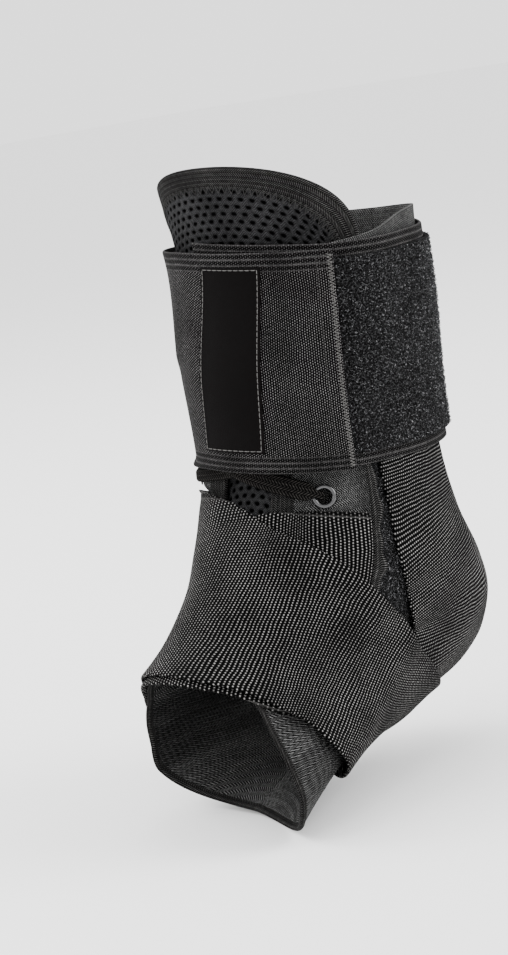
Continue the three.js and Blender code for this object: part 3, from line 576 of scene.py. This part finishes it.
SPACER_MESH = mesh_finish()
PILE = pile_finish()
THREAD = plain_finish("thread", (0.026, 0.0255, 0.025), 0.8)
BRIGHT_THREAD = plain_finish("label_thread", (0.09, 0.088, 0.085), 0.8)
# The loops are black; their few bright grains are painted glints.
LOOPS = plain_finish("pile_loops", (0.2, 0.2, 0.208), 0.6, spread=0.99, sharp=7.0)
ENAMEL = plain_finish("black_enamel", (0.01, 0.01, 0.011), 0.2, 0.3, 1.0, specular=0.5)
print("finishes", len(bpy.data.materials))


def settle(piece, finish, slot, *nodes):
    """Gives a piece its finish, rides it on the brace and hides the plain nodes it stands for; its slot is not
    used.
    """
    piece.data.materials.append(finish)
    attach(piece, "root")
    if nodes:
        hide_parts(*nodes)
    print(piece.name, len(piece.data.polygons), "faces")
    return piece


# %% [markdown]
# Heights. Each layer stands on what lies under it and starts to rise a little before it gets there, as cloth
# does over a step.
# %% Layers
LAYER_GAP = 0.65
TONGUE_THICKNESS, BOOT_THICKNESS, PILE_THICKNESS = 2.2, 1.2, 1.1
STRAP_THICKNESS, CUFF_THICKNESS, LACE_THICKNESS, LABEL_THICKNESS = 1.2, 1.3, 1.0, 0.6
FRONT_CENTRE = 2.0
SLACK = 3.2
TONGUE_SIDES = ([0.95, 1.6, 3.0, 5.0, 7.8], [73, 64, 48, 40, 28])
PILE_FROM, PILE_TO, PILE_TOP, PILE_BOTTOM = 67.0, 112.0, 2.05, 6.3


def turned(angle):
    """The same angle, between -180 and 180."""
    return (angle + 180) % 360 - 180


def from_centre(angle):
    """Degrees away from the middle of the tongue."""
    return np.abs(turned(angle - FRONT_CENTRE))


def slack(station, angle):
    """The lateral side stands off loosely between the cuff and the straps: a hill in angle and station."""
    return SLACK * plateau(turned(angle), -64, -34, 0, 24) * plateau(station, 3.08, 3.3, 0, 0.26)


def boot_inner(station, angle):
    """A gap off the limb, and on top of the tongue where that lies under it."""
    edge = read_curve(*TONGUE_SIDES, station) + 4
    over = (TONGUE_THICKNESS + LAYER_GAP) * (1 - rise(from_centre(angle), edge, edge + 24))
    return LAYER_GAP + over + slack(station, angle)


def boot_outer(station, angle):
    """The boot's outer face."""
    return boot_inner(station, angle) + BOOT_THICKNESS


def first_strap_inner(station, angle):
    """Over the boot, and over the pile patches on both sides."""
    over = plateau(from_centre(angle), PILE_FROM, PILE_TO, 4, 16)
    over = over * plateau(station, PILE_TOP, PILE_BOTTOM, 0.15, 1)
    return boot_outer(station, angle) + LAYER_GAP + (PILE_THICKNESS + LAYER_GAP) * over


def second_strap_inner(station, angle, turn):
    """One strap higher, as far as the two straps share their way."""
    return first_strap_inner(station, angle) + (STRAP_THICKNESS + LAYER_GAP) * (1 - rise(turn, 253, 257))


EYELET_LIFT = 0.35 + 0.7
LACING_HEIGHT = max(EYELET_LIFT, LACE_THICKNESS + LAYER_GAP) + LAYER_GAP + LACE_THICKNESS
STRAP_END_HEIGHT = PILE_THICKNESS + STRAP_THICKNESS + 2 * LAYER_GAP
CUFF_START, CUFF_PILE_FROM, CUFF_PILE_TO = -6.0, 44.0, 152.0


def cuff_inner(station, angle, turn):
    """Over the boot, over what it covers of the laces and the strap ends, and over its own first turn, with
    one crease below its top on the lateral side."""
    aside = from_centre(angle)
    lacing = plateau(aside, -52, 52, 4, 16) * rise(station, 2.2 - 1.25, 2.2 - 0.15)
    ends = plateau(aside, 65, 122, 4, 16) * rise(station, PILE_TOP - 1.25, PILE_TOP - 0.15)
    bulge = np.maximum(LACING_HEIGHT * lacing, STRAP_END_HEIGHT * ends)
    second = turn - 360
    wound = (CUFF_THICKNESS + LAYER_GAP) * rise(second, CUFF_START - 32, CUFF_START - 4)
    wound = wound + (PILE_THICKNESS + LAYER_GAP) * rise(second, CUFF_PILE_FROM - 16, CUFF_PILE_FROM - 4)
    crease = 0.8 * plateau(turned(angle), -78, -32, 0, 16) * (1 - rise(station, 1.78, 1.97))
    return boot_outer(station, angle) + LAYER_GAP + bulge + wound + crease


layers = [float(layer(4.0, 90.0)) for layer in (boot_inner, boot_outer, first_strap_inner)]
print("boot and strap heights on the inner side, mm", np.round(layers, 2))


# %% [markdown]
# The tongue: a straight-sided flap with a round top. Its field is a grid from the top edge down, with real
# dimples where the mesh has its holes. Taped round it is a wide woven binding, which wraps its edge and so is
# a little thicker. The field and the binding share one outline.
# %% Tongue
TONGUE_TOP, TONGUE_SHOULDER, TONGUE_BOTTOM = 0.18, 0.95, 7.8
TONGUE_BINDING = 7.5
TAPE_WRAP = 0.25


def tongue_place(side, depth, inset):
    """side is -1 to 1 across, depth 0 to 1 down. The top edge drops as an ellipse towards the sides."""
    top = lerp(TONGUE_TOP, TONGUE_SHOULDER, 1 - np.sqrt(np.maximum(1 - side * side, 0)))
    top = top + inset * stations_per_mm(top, np.full_like(top, FRONT_CENTRE))
    station = lerp(top, TONGUE_BOTTOM, depth)
    return station, FRONT_CENTRE + side * (read_curve(*TONGUE_SIDES, station) - inset * DEGREES_PER_MM)


def tongue_outline(share, inset):
    """From the lower outer corner over the round top to the lower inner corner."""
    straight = 0.32
    side = np.sin(np.pi * (np.clip((share - straight) / 0.36, 0, 1) - 0.5))
    depth = np.where(share < straight, 1 - share / straight, np.maximum((share - 1 + straight) / straight, 0))
    return tongue_place(side, np.clip(depth, 0, 1), inset)


depths = np.concatenate([np.linspace(0, 0.36, 150), np.linspace(0.36, 1, 100)[1:]])
sides = np.sin(np.pi * (np.linspace(0, 1, 151) - 0.5))
station, angle = tongue_place(*np.meshgrid(sides, depths, indexing="ij"), TONGUE_BINDING - 2)
face = raised(station, angle, np.full_like(station, LAYER_GAP + TONGUE_THICKNESS))
down, across = lengths(face, 1), lengths(face, 0)
across = across - across[len(sides) // 2]
hole_row = np.floor(down / HOLE_ROW + 0.5)
holes = (0.5 + 0.5 * np.cos(2 * np.pi * down / HOLE_ROW)) * (
    0.5 + 0.5 * np.cos(2 * np.pi * (across + hole_row * HOLE_PITCH / 2) / HOLE_PITCH)
)
low = np.full_like(station, LAYER_GAP)
high = low + TONGUE_THICKNESS - 1.0 * holes**2.5
settle(
    cloth_wall("tongue_mesh", (station, angle), low, high, (down, across)), SPACER_MESH, "mesh_cloth", "tongue"
)

share, inset = np.meshgrid(np.linspace(0, 1, 321), TONGUE_BINDING * spaced(6, 0.1), indexing="ij")
station, angle = tongue_outline(share, inset)
edge = np.minimum(inset, TONGUE_BINDING - inset)
low = np.full_like(station, LAYER_GAP - TAPE_WRAP)
face = raised(station, angle, low + TONGUE_THICKNESS)
tape = cloth_wall(
    "tongue_tape", (station, angle), low, low + TONGUE_THICKNESS + 2 * TAPE_WRAP,
    (lengths(face, 0)[:, :1], inset), edge=edge, edge_round=1.1,
)
settle(tape, TAPE, "binding_tape", "tongue_binding")

# %% [markdown]
# A zigzag row of thread holds the binding's inner edge. The thread dips into the cloth at each turn.
# %% Zigzag on the tongue
ZIGZAG_PITCH = 1.9


def zigzag(count, turns):
    """A triangle wave between -1 and 1, and a lift that is 0 at its turns and 1 between them."""
    phase = np.linspace(0, turns, count)
    swing = 1 - 2 * np.abs((phase % 1) * 2 - 1)
    return swing, 1 - swing**8


swing, lifted = zigzag(3600, 160)
share = np.linspace(0.02, 0.98, 3600)
station, angle = tongue_outline(share, TONGUE_BINDING - 0.2 + 1.3 * swing)
path = raised(station, angle, LAYER_GAP + TONGUE_THICKNESS + 0.05 + 0.22 * lifted)
settle(tube("tongue_zigzag", path, 0.13, 4), THREAD, "binding_tape")

# %% [markdown]
# The boot is two panels of woven nylon that meet at the back, under the sole and over the toes. The heel stays
# open: faces inside an oval are left out, and so are round holes for the eyelets. The cut edges end inside the
# bindings that wrap them.
# %% Boot
FACINGS = ([0.9, 5.2, 6.6, 7.5, 11], [14, 14, 7, 0, 0])
BOOT_TOP = ([-180, -112, -75, 0, 75, 112, 180], [0.86, 0.86, 1.0, 1.0, 0.95, 0.84, 0.86])
TOE_EDGE = (
    [-180, -110, -82, -55, -20, 12, 40, 66, 95, 120, 180],
    [10.1, 9.9, 9.45, 9.0, 8.6, 8.45, 8.8, 9.6, 10.2, 10.45, 10.1],
)
HEEL_STATION, HEEL_STATIONS, HEEL_SPREAD, HEEL_POWER = 5.475, 1.475, 64.0, 2.6
FACING_BINDING, EDGE_BINDING = 8.5, 3.2
EYELETS = {
    "medial_lower": (3.56, 43.5),
    "medial_upper": (2.8, 43.5),
    "lateral_lower": (3.12, -42.0),
    "lateral_upper": (2.42, -42.0),
}


def boot_station(angle, depth, short):
    """From the top edge at depth 0 to the toe edge at depth 1, short of it by some millimetres."""
    toe = read_curve(*TOE_EDGE, turned(angle))
    return lerp(read_curve(*BOOT_TOP, turned(angle)), toe - short * stations_per_mm(toe, angle), depth)


def facing_angle(sign, depth, distance):
    """The angle some millimetres behind a side's front edge."""
    half = read_curve(*FACINGS, boot_station(np.full_like(depth, FRONT_CENTRE), depth, EDGE_BINDING))
    return FRONT_CENTRE + sign * (np.maximum(half, -0.1) + distance * DEGREES_PER_MM)


heel_per_mm = float(stations_per_mm(np.array(HEEL_STATION), np.array(180.0)))


def outside_heel(station, angle, grown):
    """True outside the heel's oval, grown by some millimetres: the two shares to a power add up past 1."""
    tall = (station - HEEL_STATION) / (HEEL_STATIONS + grown * heel_per_mm)
    wide = turned(angle - 180) / (HEEL_SPREAD + grown * DEGREES_PER_MM)
    return np.abs(tall) ** HEEL_POWER + np.abs(wide) ** HEEL_POWER > 1


for name, sign in (("medial", 1), ("lateral", -1)):
    u, depth = np.meshgrid(np.linspace(0, 1, 121), np.linspace(0, 1, 231), indexing="ij")
    front = facing_angle(sign, depth, 3.0)
    angle = lerp(front, sign * 180.0, u)
    station = boot_station(angle, depth, 1.2)
    keep = outside_heel(station, angle, 1.5)
    point = raised(station, angle, np.full_like(station, 3.0))
    for place in (value for key, value in EYELETS.items() if key.startswith(name)):
        keep &= np.linalg.norm(point - raised(*map(np.array, place), 3.0), axis=-1) > 3.2
    low = boot_inner(station, angle)
    panel = cloth_wall(
        f"boot_panel_{name}", (station, angle), low, low + BOOT_THICKNESS,
        (lengths(point, 0), lengths(point, 1)), keep,
    )
    settle(panel, BOOT_CLOTH, "boot_cloth", f"boot_{name}")
    depth, inset = np.meshgrid(np.linspace(0, 1, 201), FACING_BINDING * spaced(6, 0.08), indexing="ij")
    angle = facing_angle(sign, depth, inset)
    station = boot_station(angle, depth, 1.2)
    low = boot_inner(station, angle) - TAPE_WRAP
    point = raised(station, angle, low)
    tape = cloth_wall(
        f"facing_tape_{name}", (station, angle), low, low + BOOT_THICKNESS + 2 * TAPE_WRAP,
        (lengths(point, 0), inset), edge=np.minimum(inset, FACING_BINDING - inset), edge_round=0.8,
    )
    settle(tape, TAPE, "binding_tape", f"facing_binding_{name}")

# %% [markdown]
# The heel and toe edges are hems: a narrow tape folded over the edge, so its section is round.
# %% Hems
HEM_WRAP = 0.3
share, inset = np.meshgrid(np.linspace(0, 1, 241), EDGE_BINDING * spaced(8, 0.1), indexing="ij")
heel_stations = HEEL_STATIONS + inset * heel_per_mm
heel_degrees = HEEL_SPREAD + inset * DEGREES_PER_MM
station = HEEL_STATION + heel_stations * squarer(np.cos(2 * np.pi * share), HEEL_POWER)
angle = 180 + heel_degrees * squarer(np.sin(2 * np.pi * share), HEEL_POWER)
low = boot_inner(station, angle) - HEM_WRAP
edge = np.minimum(inset, EDGE_BINDING - inset)
point = raised(station, angle, low)
hem = cloth_wall(
    "heel_hem", (station, angle), low, low + BOOT_THICKNESS + 2 * HEM_WRAP,
    (lengths(point, 0), inset), ring=True, edge=edge, edge_round=1.6,
)
settle(hem, TAPE, "binding_tape", "heel_binding")

angle, inset = np.meshgrid(np.linspace(0, 360, 361), EDGE_BINDING * spaced(8, 0.1), indexing="ij")
toe = read_curve(*TOE_EDGE, turned(angle))
station = toe - inset * stations_per_mm(toe, angle)
low = boot_inner(station, angle) - HEM_WRAP
point = raised(station, angle, low)
hem = cloth_wall(
    "toe_hem", (station, angle), low, low + BOOT_THICKNESS + 2 * HEM_WRAP,
    (lengths(point, 0), inset), ring=True, edge=np.minimum(inset, EDGE_BINDING - inset), edge_round=1.6,
)
settle(hem, TAPE, "binding_tape", "toe_binding")

# %% [markdown]
# An eyelet is a pressed ring: a rounded flange on the cloth and a barrel through it. Its section is turned
# about the hole's axis.
# %% Eyelets
EYELET_SECTION = np.array([
    [2.62, -1.6], [3.2, -1.6], [3.2, -0.02], [3.9, 0.0], [4.12, 0.18], [4.08, 0.45], [3.85, 0.68],
    [3.45, 0.8], [3.0, 0.72], [2.72, 0.45], [2.6, 0.05], [2.62, -1.6],
])
for key, place in EYELETS.items():
    station, angle = map(np.array, place)
    normal = limb_normal(station, angle)
    side = unit(np.cross(normal, [0.0, 0.0, 1.0]))
    other = np.cross(normal, side)
    turn = np.linspace(0, 2 * np.pi, 48, endpoint=False)
    spoke = np.cos(turn)[:, None] * side + np.sin(turn)[:, None] * other
    seat = raised(station, angle, boot_outer(station, angle) + 0.3)
    points = seat + EYELET_SECTION[None, :, :1] * spoke[:, None] + EYELET_SECTION[None, :, 1:] * normal
    number = np.arange(points.size // 3).reshape(points.shape[:2])
    after = np.roll(number, -1, axis=0)
    faces = np.stack([number[:, :-1], number[:, 1:], after[:, 1:], after[:, :-1]], -1).reshape(-1, 4)
    ring = put_mesh(f"eyelet_ring_{key}", points.reshape(-1, 3), faces[:, ::-1])
    settle(ring, ENAMEL, "eyelet_metal", f"eyelet_{key}")

# %% [markdown]
# The laces are flat braid. Each comes up out of one eyelet, lies on its flange, spreads to its full width and
# crosses the tongue to the other side. The later one lies over the earlier where they cross.
# %% Laces
def lace(name, node, start, end, crossing):
    """A band on a straight line of places; its width and height ease in over the flange at both ends."""
    start, end = EYELETS[start], EYELETS[end]
    line = lambda u: (lerp(start[0], end[0], u), lerp(start[1], end[1], u))
    u = (1 - np.cos(np.pi * np.linspace(0, 1, 121))) / 2
    length = lengths(raised(*line(u), np.full_like(u, WALK_LIFT)), 0)
    near = np.minimum(length, length[-1] - length)
    near_at = lambda at: np.interp(at, u, near)
    width = lambda at: lerp(2.6, 6.5, rise(near_at(at), 2.1, 6.6))
    v = spaced(8, 0.08)
    station, angle = band(line, width, u, v)
    crossed = crossing * plateau(from_centre(angle), -20, 20, 0, 8)
    sink = lerp(EYELET_LIFT + LAYER_GAP, LAYER_GAP, rise(near, 4.1, 10.2))
    lift = rise(near, 0.5, 2.6) * sink
    low = boot_outer(station, angle) + lift[:, None] + (LACE_THICKNESS + LAYER_GAP) * crossed
    across = width(u)[:, None] * (v[None, :] - 0.5)
    edge = width(u)[:, None] / 2 - np.abs(across)
    made = cloth_wall(
        name, (station, angle), low, low + LACE_THICKNESS, (length[:, None], across), edge=edge, edge_round=0.6
    )
    settle(made, LACE_BRAID, "lace_cord", node)


lace("upper_lace", "lace_over", "lateral_upper", "medial_lower", 1)
lace("lower_lace", "lace_under", "medial_upper", "lateral_lower", 0)

# %% [markdown]
# The figure-of-eight straps. Each is sewn on beside the tongue, crosses over the instep, passes under the sole
# and comes up the other side of the heel to its pile patch. Worn, the top strap sinks into soft dents over the
# instep, so its height gets a few soft ridges there.
# %% Straps
STRAP_WIDTH = 57.0
SLIT_ANGLE = 62.8
ROOT_TURN = -62.0
FIRST_STRAP = np.array([
    [-62, 6.5, 1.24], [-40, 6.5, 1.22], [-15, 6.4, 1.14], [12, 6.5, 1.05], [46, 7.0, 1.0], [80, 7.85, 0.98],
    [112, 8.35, 0.95], [150, 8.35, 0.9], [190, 8.0, 0.9], [222, 7.35, 0.92], [242, 6.8, 0.93],
    [255, 6.0, 0.95], [260, 5.0, 0.88], [262, 4.1, 0.8], [263.5, 3.1, 0.71], [264.5, 2.3, 0.67],
])
SECOND_STRAP = np.concatenate([
    [[-62, 6.15, 1.3], [-40, 6.1, 1.28], [-15, 6.1, 1.18], [12, 6.45, 1.05]], FIRST_STRAP[4:],
])


FOLDS = np.array([
    [0.63, 0.42, 0.02, 0.3, 2.4], [0.545, 0.85, 0.019, 0.36, 2.4], [0.725, 0.55, 0.024, 0.4, 1.8],
    [0.47, 0.45, 0.018, 0.28, 1.4], [0.585, 1.0, 0.016, 0.2, -0.5], [0.37, 0.75, 0.02, 0.3, 1.4],
])


def instep_folds(u, v):
    """The sum of soft ridges: each row is a middle in u and in v, a reach in both, and a height in mm."""
    along, across = u[:, None, None] - FOLDS[:, 0], v[None, :, None] - FOLDS[:, 1]
    away = (along / FOLDS[:, 2]) ** 2 + (across / FOLDS[:, 3]) ** 2
    return np.sum(FOLDS[:, 4] * np.exp(-away), axis=-1)


def strap(name, node, table, sign, inner, folds=None):
    """A band on the table's line. turn is the angle from the middle of the tongue, away from the root. Near
    the root the angles blend to the straight line of the slit, where the strap is sewn on."""
    rows = np.arange(len(table))
    read = lambda share: read_curve(rows, table.T, np.asarray(share) * (len(table) - 1))
    line = lambda share: (read(share)[1], FRONT_CENTRE - sign * read(share)[0])
    width = lambda share: STRAP_WIDTH * read(share)[2]
    u, v = np.linspace(0, 1, 331), spaced(44, 0.02)
    station, angle = band(line, width, u, v)
    near_root = 1 - rise(read(u)[0], ROOT_TURN, ROOT_TURN + 26)[:, None]
    root = FRONT_CENTRE + sign * (SLIT_ANGLE - 0.5)
    angle = angle + near_root * (root - angle[:1])
    length = lengths(raised(*line(u), np.full_like(u, WALK_LIFT)), 0)
    across = width(u)[:, None] * (v[None, :] - 0.5)
    edge = width(u)[:, None] / 2 - np.abs(across)
    edge = np.minimum(edge, np.minimum(length, length[-1] - length)[:, None])
    low = inner(station, angle, read(u)[0][:, None])
    if folds is not None:
        low = low + folds(u, v)
    made = cloth_wall(
        name, (station, angle), low, low + STRAP_THICKNESS, (length[:, None], across), edge=edge, edge_round=0.8
    )
    settle(made, STRAP_WEBBING, "elastic_webbing", node)


on_the_boot = lambda station, angle, turn: first_strap_inner(station, angle)
strap("under_strap", "strap_first", FIRST_STRAP, 1, on_the_boot)
strap("over_strap", "strap_second", SECOND_STRAP, -1, second_strap_inner, instep_folds)

# %% [markdown]
# Loop pile is the soft half of a touch fastener: a backing thick with small loops. The backing is a wall like
# the others, and the loops that show are real: thousands of small arches, each a three-sided tube of a few
# faces, placed and turned at random with a fixed seed.
# %% Pile
rng = np.random.default_rng(11)
PATCH_LOOPS, CUFF_LOOPS = 2600, 8200
LOOP_WIDTH, LOOP_RADIUS = 0.55, 0.1


def loops(name, base, normal, height, finish, slot):
    """Half circles that stand on the base points, each carried by five three-sided rings."""
    count = len(base)
    turn = rng.uniform(0, 2 * np.pi, (count, 1))
    side = unit(np.cross(normal, rng.normal(size=(count, 3))))
    lean = unit(normal + 0.45 * rng.normal(size=(count, 3)))
    size = height * rng.uniform(0.6, 1.15, (count, 1))
    steps = np.radians([-100, -45, 0, 45, 100])[None, :, None]
    out = np.cross(side, lean)
    sideways, upwards = np.sin(steps) * side[:, None], np.cos(steps) * lean[:, None]
    spine = base[:, None] + (LOOP_WIDTH * sideways + upwards) * size[:, None]
    radial = sideways + upwards
    ring = np.array([0, 2.094, 4.189]) + turn
    cosine, sine = np.cos(ring)[:, None, :, None], np.sin(ring)[:, None, :, None]
    points = spine[:, :, None] + LOOP_RADIUS * (cosine * radial[:, :, None] + sine * out[:, None, None])
    number = np.arange(count * 15).reshape(count, 5, 3)
    other = np.roll(number, -1, axis=2)
    faces = np.stack([number[:, :-1], other[:, :-1], other[:, 1:], number[:, 1:]], -1).reshape(-1, 4)
    settle(put_mesh(name, points.reshape(-1, 3), faces), finish, slot)


for name, sign in (("medial", 1), ("lateral", -1)):
    u, v = np.meshgrid(np.linspace(0, 1, 41), np.linspace(0, 1, 91), indexing="ij")
    station = lerp(PILE_TOP, PILE_BOTTOM, v)
    angle = FRONT_CENTRE + sign * lerp(PILE_FROM, PILE_TO, u)
    low = boot_outer(station, angle) + LAYER_GAP
    point = raised(station, angle, low)
    patch = cloth_wall(
        f"pile_patch_{name}", (station, angle), low, low + PILE_THICKNESS,
        (lengths(point, 0), lengths(point, 1)),
    )
    settle(patch, PILE, "loop_pile", f"pile_{name}")
    station = rng.uniform(PILE_TOP + 0.9, PILE_BOTTOM - 0.05, PATCH_LOOPS)
    angle = FRONT_CENTRE + sign * rng.uniform(PILE_FROM + 0.3, PILE_FROM + 14, PATCH_LOOPS)
    base = raised(station, angle, boot_outer(station, angle) + LAYER_GAP + PILE_THICKNESS - 0.15)
    loops(f"pile_loops_{name}", base, limb_normal(station, angle), 0.5, LOOPS, "loop_pile")

# %% [markdown]
# Beside each pile patch the strap's root ends in a bound edge. It is a thin cord of folded tape that has come
# away a little and waves.
# %% Slit bindings
SLIT_WIDTH = 2.6
for name, sign, bottom in (("medial", 1, 6.4), ("lateral", -1, 5.5)):
    u, across = np.meshgrid(np.linspace(0, 1, 161), SLIT_WIDTH * spaced(6, 0.15), indexing="ij")
    station = lerp(PILE_TOP, bottom, u)
    wavy = 0.6 * np.sin(2 * np.pi * u * 3.2) + 0.4 * np.sin(2 * np.pi * u * 7.3 + 1)
    loose = rise(across, 0, SLIT_WIDTH)
    angle = FRONT_CENTRE + sign * (SLIT_ANGLE + (across + 0.9 * wavy * loose) * DEGREES_PER_MM)
    low = first_strap_inner(station, angle) + (0.9 + 0.55 * wavy) * loose
    point = raised(station, angle, low)
    slit = cloth_wall(
        f"slit_tape_{name}", (station, angle), low, low + STRAP_THICKNESS, (lengths(point, 0), across),
        edge=np.minimum(across, SLIT_WIDTH - across), edge_round=1.2,
    )
    settle(slit, SLIT_TAPE, "binding_tape", f"slit_binding_{name}")

# %% [markdown]
# The cuff winds from the front round the inner side and the back to the front again and over its own pile
# panel. Its middle line rises and falls a little, so each turn shows a step at the top and bottom edge.
# %% Cuff
CUFF_HEIGHT = 76.0
CUFF_COURSE = (
    [-6, 30, 60, 115, 180, 270, 343, 366, 390, 417],
    [0.935, 0.885, 0.845, 0.83, 0.85, 0.88, 0.9, 0.88, 0.855, 0.83],
)
CUFF_END = CUFF_COURSE[0][-1]


def cuff_place(turn, share):
    """The station at which the limb has the height of this share of the cuff, found by halving."""
    height = CUFF_HEIGHT * (read_curve(*CUFF_COURSE, turn) + share - 0.5)
    above, below = np.zeros_like(height), np.full_like(height, LAST_STATION / 2)
    for _ in range(20):
        middle = (above + below) / 2
        higher = limb_point(middle, turn)[..., 2] > height
        above, below = np.where(higher, middle, above), np.where(higher, below, middle)
    return above, turn


turn, share = np.meshgrid(np.linspace(CUFF_START, CUFF_END, 341), spaced(56, 0.012), indexing="ij")
station, angle = cuff_place(turn, share)
low = cuff_inner(station, angle, turn)
point = raised(station, angle, low + CUFF_THICKNESS)
along = lengths(point, 0)[:, 28:29]
across = CUFF_HEIGHT * (share - 0.5)
edge = np.minimum(CUFF_HEIGHT / 2 - np.abs(across), np.minimum(along, along[-1] - along))
cuff = cloth_wall(
    "cuff_band", (station, angle), low, low + CUFF_THICKNESS, (along, across), edge=edge, edge_round=0.8
)
settle(cuff, CUFF_WEBBING, "elastic_webbing", "cuff_strap")

turns = np.linspace(CUFF_PILE_FROM, CUFF_PILE_TO, 121)
turn, share = np.meshgrid(turns, np.linspace(0.06, 0.94, 81), indexing="ij")
station, angle = cuff_place(turn, share)
low = cuff_inner(station, angle, turn) + CUFF_THICKNESS + LAYER_GAP
point = raised(station, angle, low)
patch = cloth_wall(
    "cuff_pile_panel", (station, angle), low, low + PILE_THICKNESS,
    (lengths(point, 0), lengths(point, 1)),
)
settle(patch, PILE, "loop_pile", "cuff_pile")
turn = rng.uniform(CUFF_END - 360 + 0.4, CUFF_PILE_TO - 0.4, CUFF_LOOPS)
share = rng.uniform(0.064, 0.936, CUFF_LOOPS)
station, angle = cuff_place(turn, share)
top = cuff_inner(station, angle, turn) + CUFF_THICKNESS + LAYER_GAP + PILE_THICKNESS
base = raised(station, angle, top - 0.2)
loops("cuff_pile_loops", base, limb_normal(station, angle), 0.85, LOOPS, "loop_pile")

# %% [markdown]
# Stitching on the cuff: a zigzag up its outer end and a straight row beside it. A straight row is a thread that
# goes under the cloth and comes up again at every stitch.
# %% Cuff stitching
def cuff_thread(name, turn, share, lift, radius, finish):
    """A thread over the cuff at some turns and shares of its height."""
    station, angle = cuff_place(turn, share)
    path = raised(station, angle, cuff_inner(station, angle, turn) + CUFF_THICKNESS + lift)
    settle(tube(name, path, radius, 4), finish, "elastic_webbing")


swing, lifted = zigzag(1500, 62)
share = np.linspace(0.02, 0.98, 1500)
cuff_thread("cuff_end_zigzag", CUFF_END - 1.9 + 1.0 * swing, share, 0.15 * lifted, 0.12, BRIGHT_THREAD)
phase = np.linspace(0, 2 * np.pi * 34, 1000)
share = np.linspace(0.02, 0.98, 1000)
cuff_thread("cuff_end_row", np.full(1000, CUFF_END - 7.2), share, 0.14 * np.sin(phase), 0.12, THREAD)

# %% [markdown]
# The label patch is a plain strip of satin, slightly turned on the cuff, sewn down all round.
# %% Label
LABEL_WIDTH = 21.0
LABEL_LIFT = 0.15


def label_line(u):
    """The patch's middle line over the cuff's outer turn, from its top to its bottom end."""
    return cuff_place(lerp(373.0, 364.5, u), lerp(0.435, -0.395, u) + 0.5)


def label_height(station, angle):
    """On top of the cuff's outer turn."""
    return cuff_inner(station, angle, angle) + CUFF_THICKNESS


u, v = spaced(60, 0.012), spaced(24, 0.03)
station, angle = band(label_line, lambda at: np.full_like(at, LABEL_WIDTH), u, v)
low = label_height(station, angle) + LABEL_LIFT
point = raised(station, angle, low)
along, across = lengths(point, 0), LABEL_WIDTH * (v[None, :] - 0.5)
edge = np.minimum(LABEL_WIDTH / 2 - np.abs(across), np.minimum(along, along[-1] - along))
patch = cloth_wall(
    "label_blank", (station, angle), low, low + LABEL_THICKNESS, (along, across), edge=edge, edge_round=0.7
)
settle(patch, SATIN, "satin_label", "label_patch")

label_length = float(along[-1].mean())
corners = np.array([[0, 0], [1, 0], [1, 1], [0, 1], [0, 0]], float)
reach = np.array([label_length, LABEL_WIDTH])
inset = 0.9 / reach
corners = inset + corners * (1 - 2 * inset)
walked = lengths(corners * reach, 0)
far = np.linspace(0, walked[-1], 2400)
border = np.stack([np.interp(far, walked, corners[:, k]) for k in (0, 1)], 1)
stitch = np.sin(2 * np.pi * far / 1.9)
rows = spaced(60)
borders = band(label_line, lambda at: np.full_like(at, LABEL_WIDTH), rows, np.array([0.0, 1.0]))
near_side, far_side = ([np.interp(border[:, 0], rows, place[:, k]) for place in borders] for k in (0, 1))
station, angle = (lerp(near_side[k], far_side[k], border[:, 1]) for k in (0, 1))
path = raised(station, angle, label_height(station, angle) + LABEL_LIFT + LABEL_THICKNESS + 0.14 * stitch)
settle(tube("label_stitches", path, 0.16, 4), BRIGHT_THREAD, "satin_label")

# %% [markdown]
# The studio: a wide pale floor under the lowest hem, a bright even sky, and four soft lights that the camera
# doesn't see. Black cloth shows its form only where its yarn catches light, so the lights stand all round it.
# %% Studio
FLOOR_REACH = 12.0
FLOOR_GAP = 0.0005
floor_level = CAD_BOX[0][2] - FLOOR_GAP
floor_mesh = bpy.data.meshes.new("floor")
floor_mesh.from_pydata(
    [(x * FLOOR_REACH, y * FLOOR_REACH, floor_level) for x, y in ((-1, -1), (1, -1), (1, 1), (-1, 1))], [],
    [(0, 1, 2, 3)],
)
floor = bpy.data.objects.new("floor", floor_mesh)
bpy.context.scene.collection.objects.link(floor)
floor_paint = bpy.data.materials.new("floor_paint")
floor_paint.use_nodes = True
floor_paint.node_tree.nodes["Principled BSDF"].inputs["Base Color"].default_value = (0.93, 0.93, 0.93, 1)
floor_paint.node_tree.nodes["Principled BSDF"].inputs["Roughness"].default_value = 0.9
floor_mesh.materials.append(floor_paint)

world = bpy.data.worlds.new("sky")
world.use_nodes = True
world.node_tree.nodes["Background"].inputs[0].default_value = (1, 1, 1, 1)
world.node_tree.nodes["Background"].inputs[1].default_value = 2.0
bpy.context.scene.world = world

LIGHTS = (
    ("key", 11.0, 0.7, (-0.5, -1.1, 1.0)),
    ("rim", 22.0, 0.9, (-1.2, -0.4, 1.0)),
    ("side", 24.0, 0.9, (1.1, 0.75, 0.8)),
    ("top", 5.0, 0.9, (0.1, 0.3, 1.5)),
)
for name, power, size, spot in LIGHTS:
    light = bpy.data.lights.new(name, "AREA")
    light.energy, light.size = power, size
    lamp = bpy.data.objects.new(name, light)
    away = unit(np.array(spot))
    sideways = unit(np.cross([0.0, 0.0, 1.0], away))
    turn = np.eye(4)
    turn[:3, :4] = np.stack([sideways, np.cross(away, sideways), away, spot], axis=1)
    lamp.matrix_world = Matrix(turn.tolist())
    lamp.visible_camera = False
    bpy.context.scene.collection.objects.link(lamp)
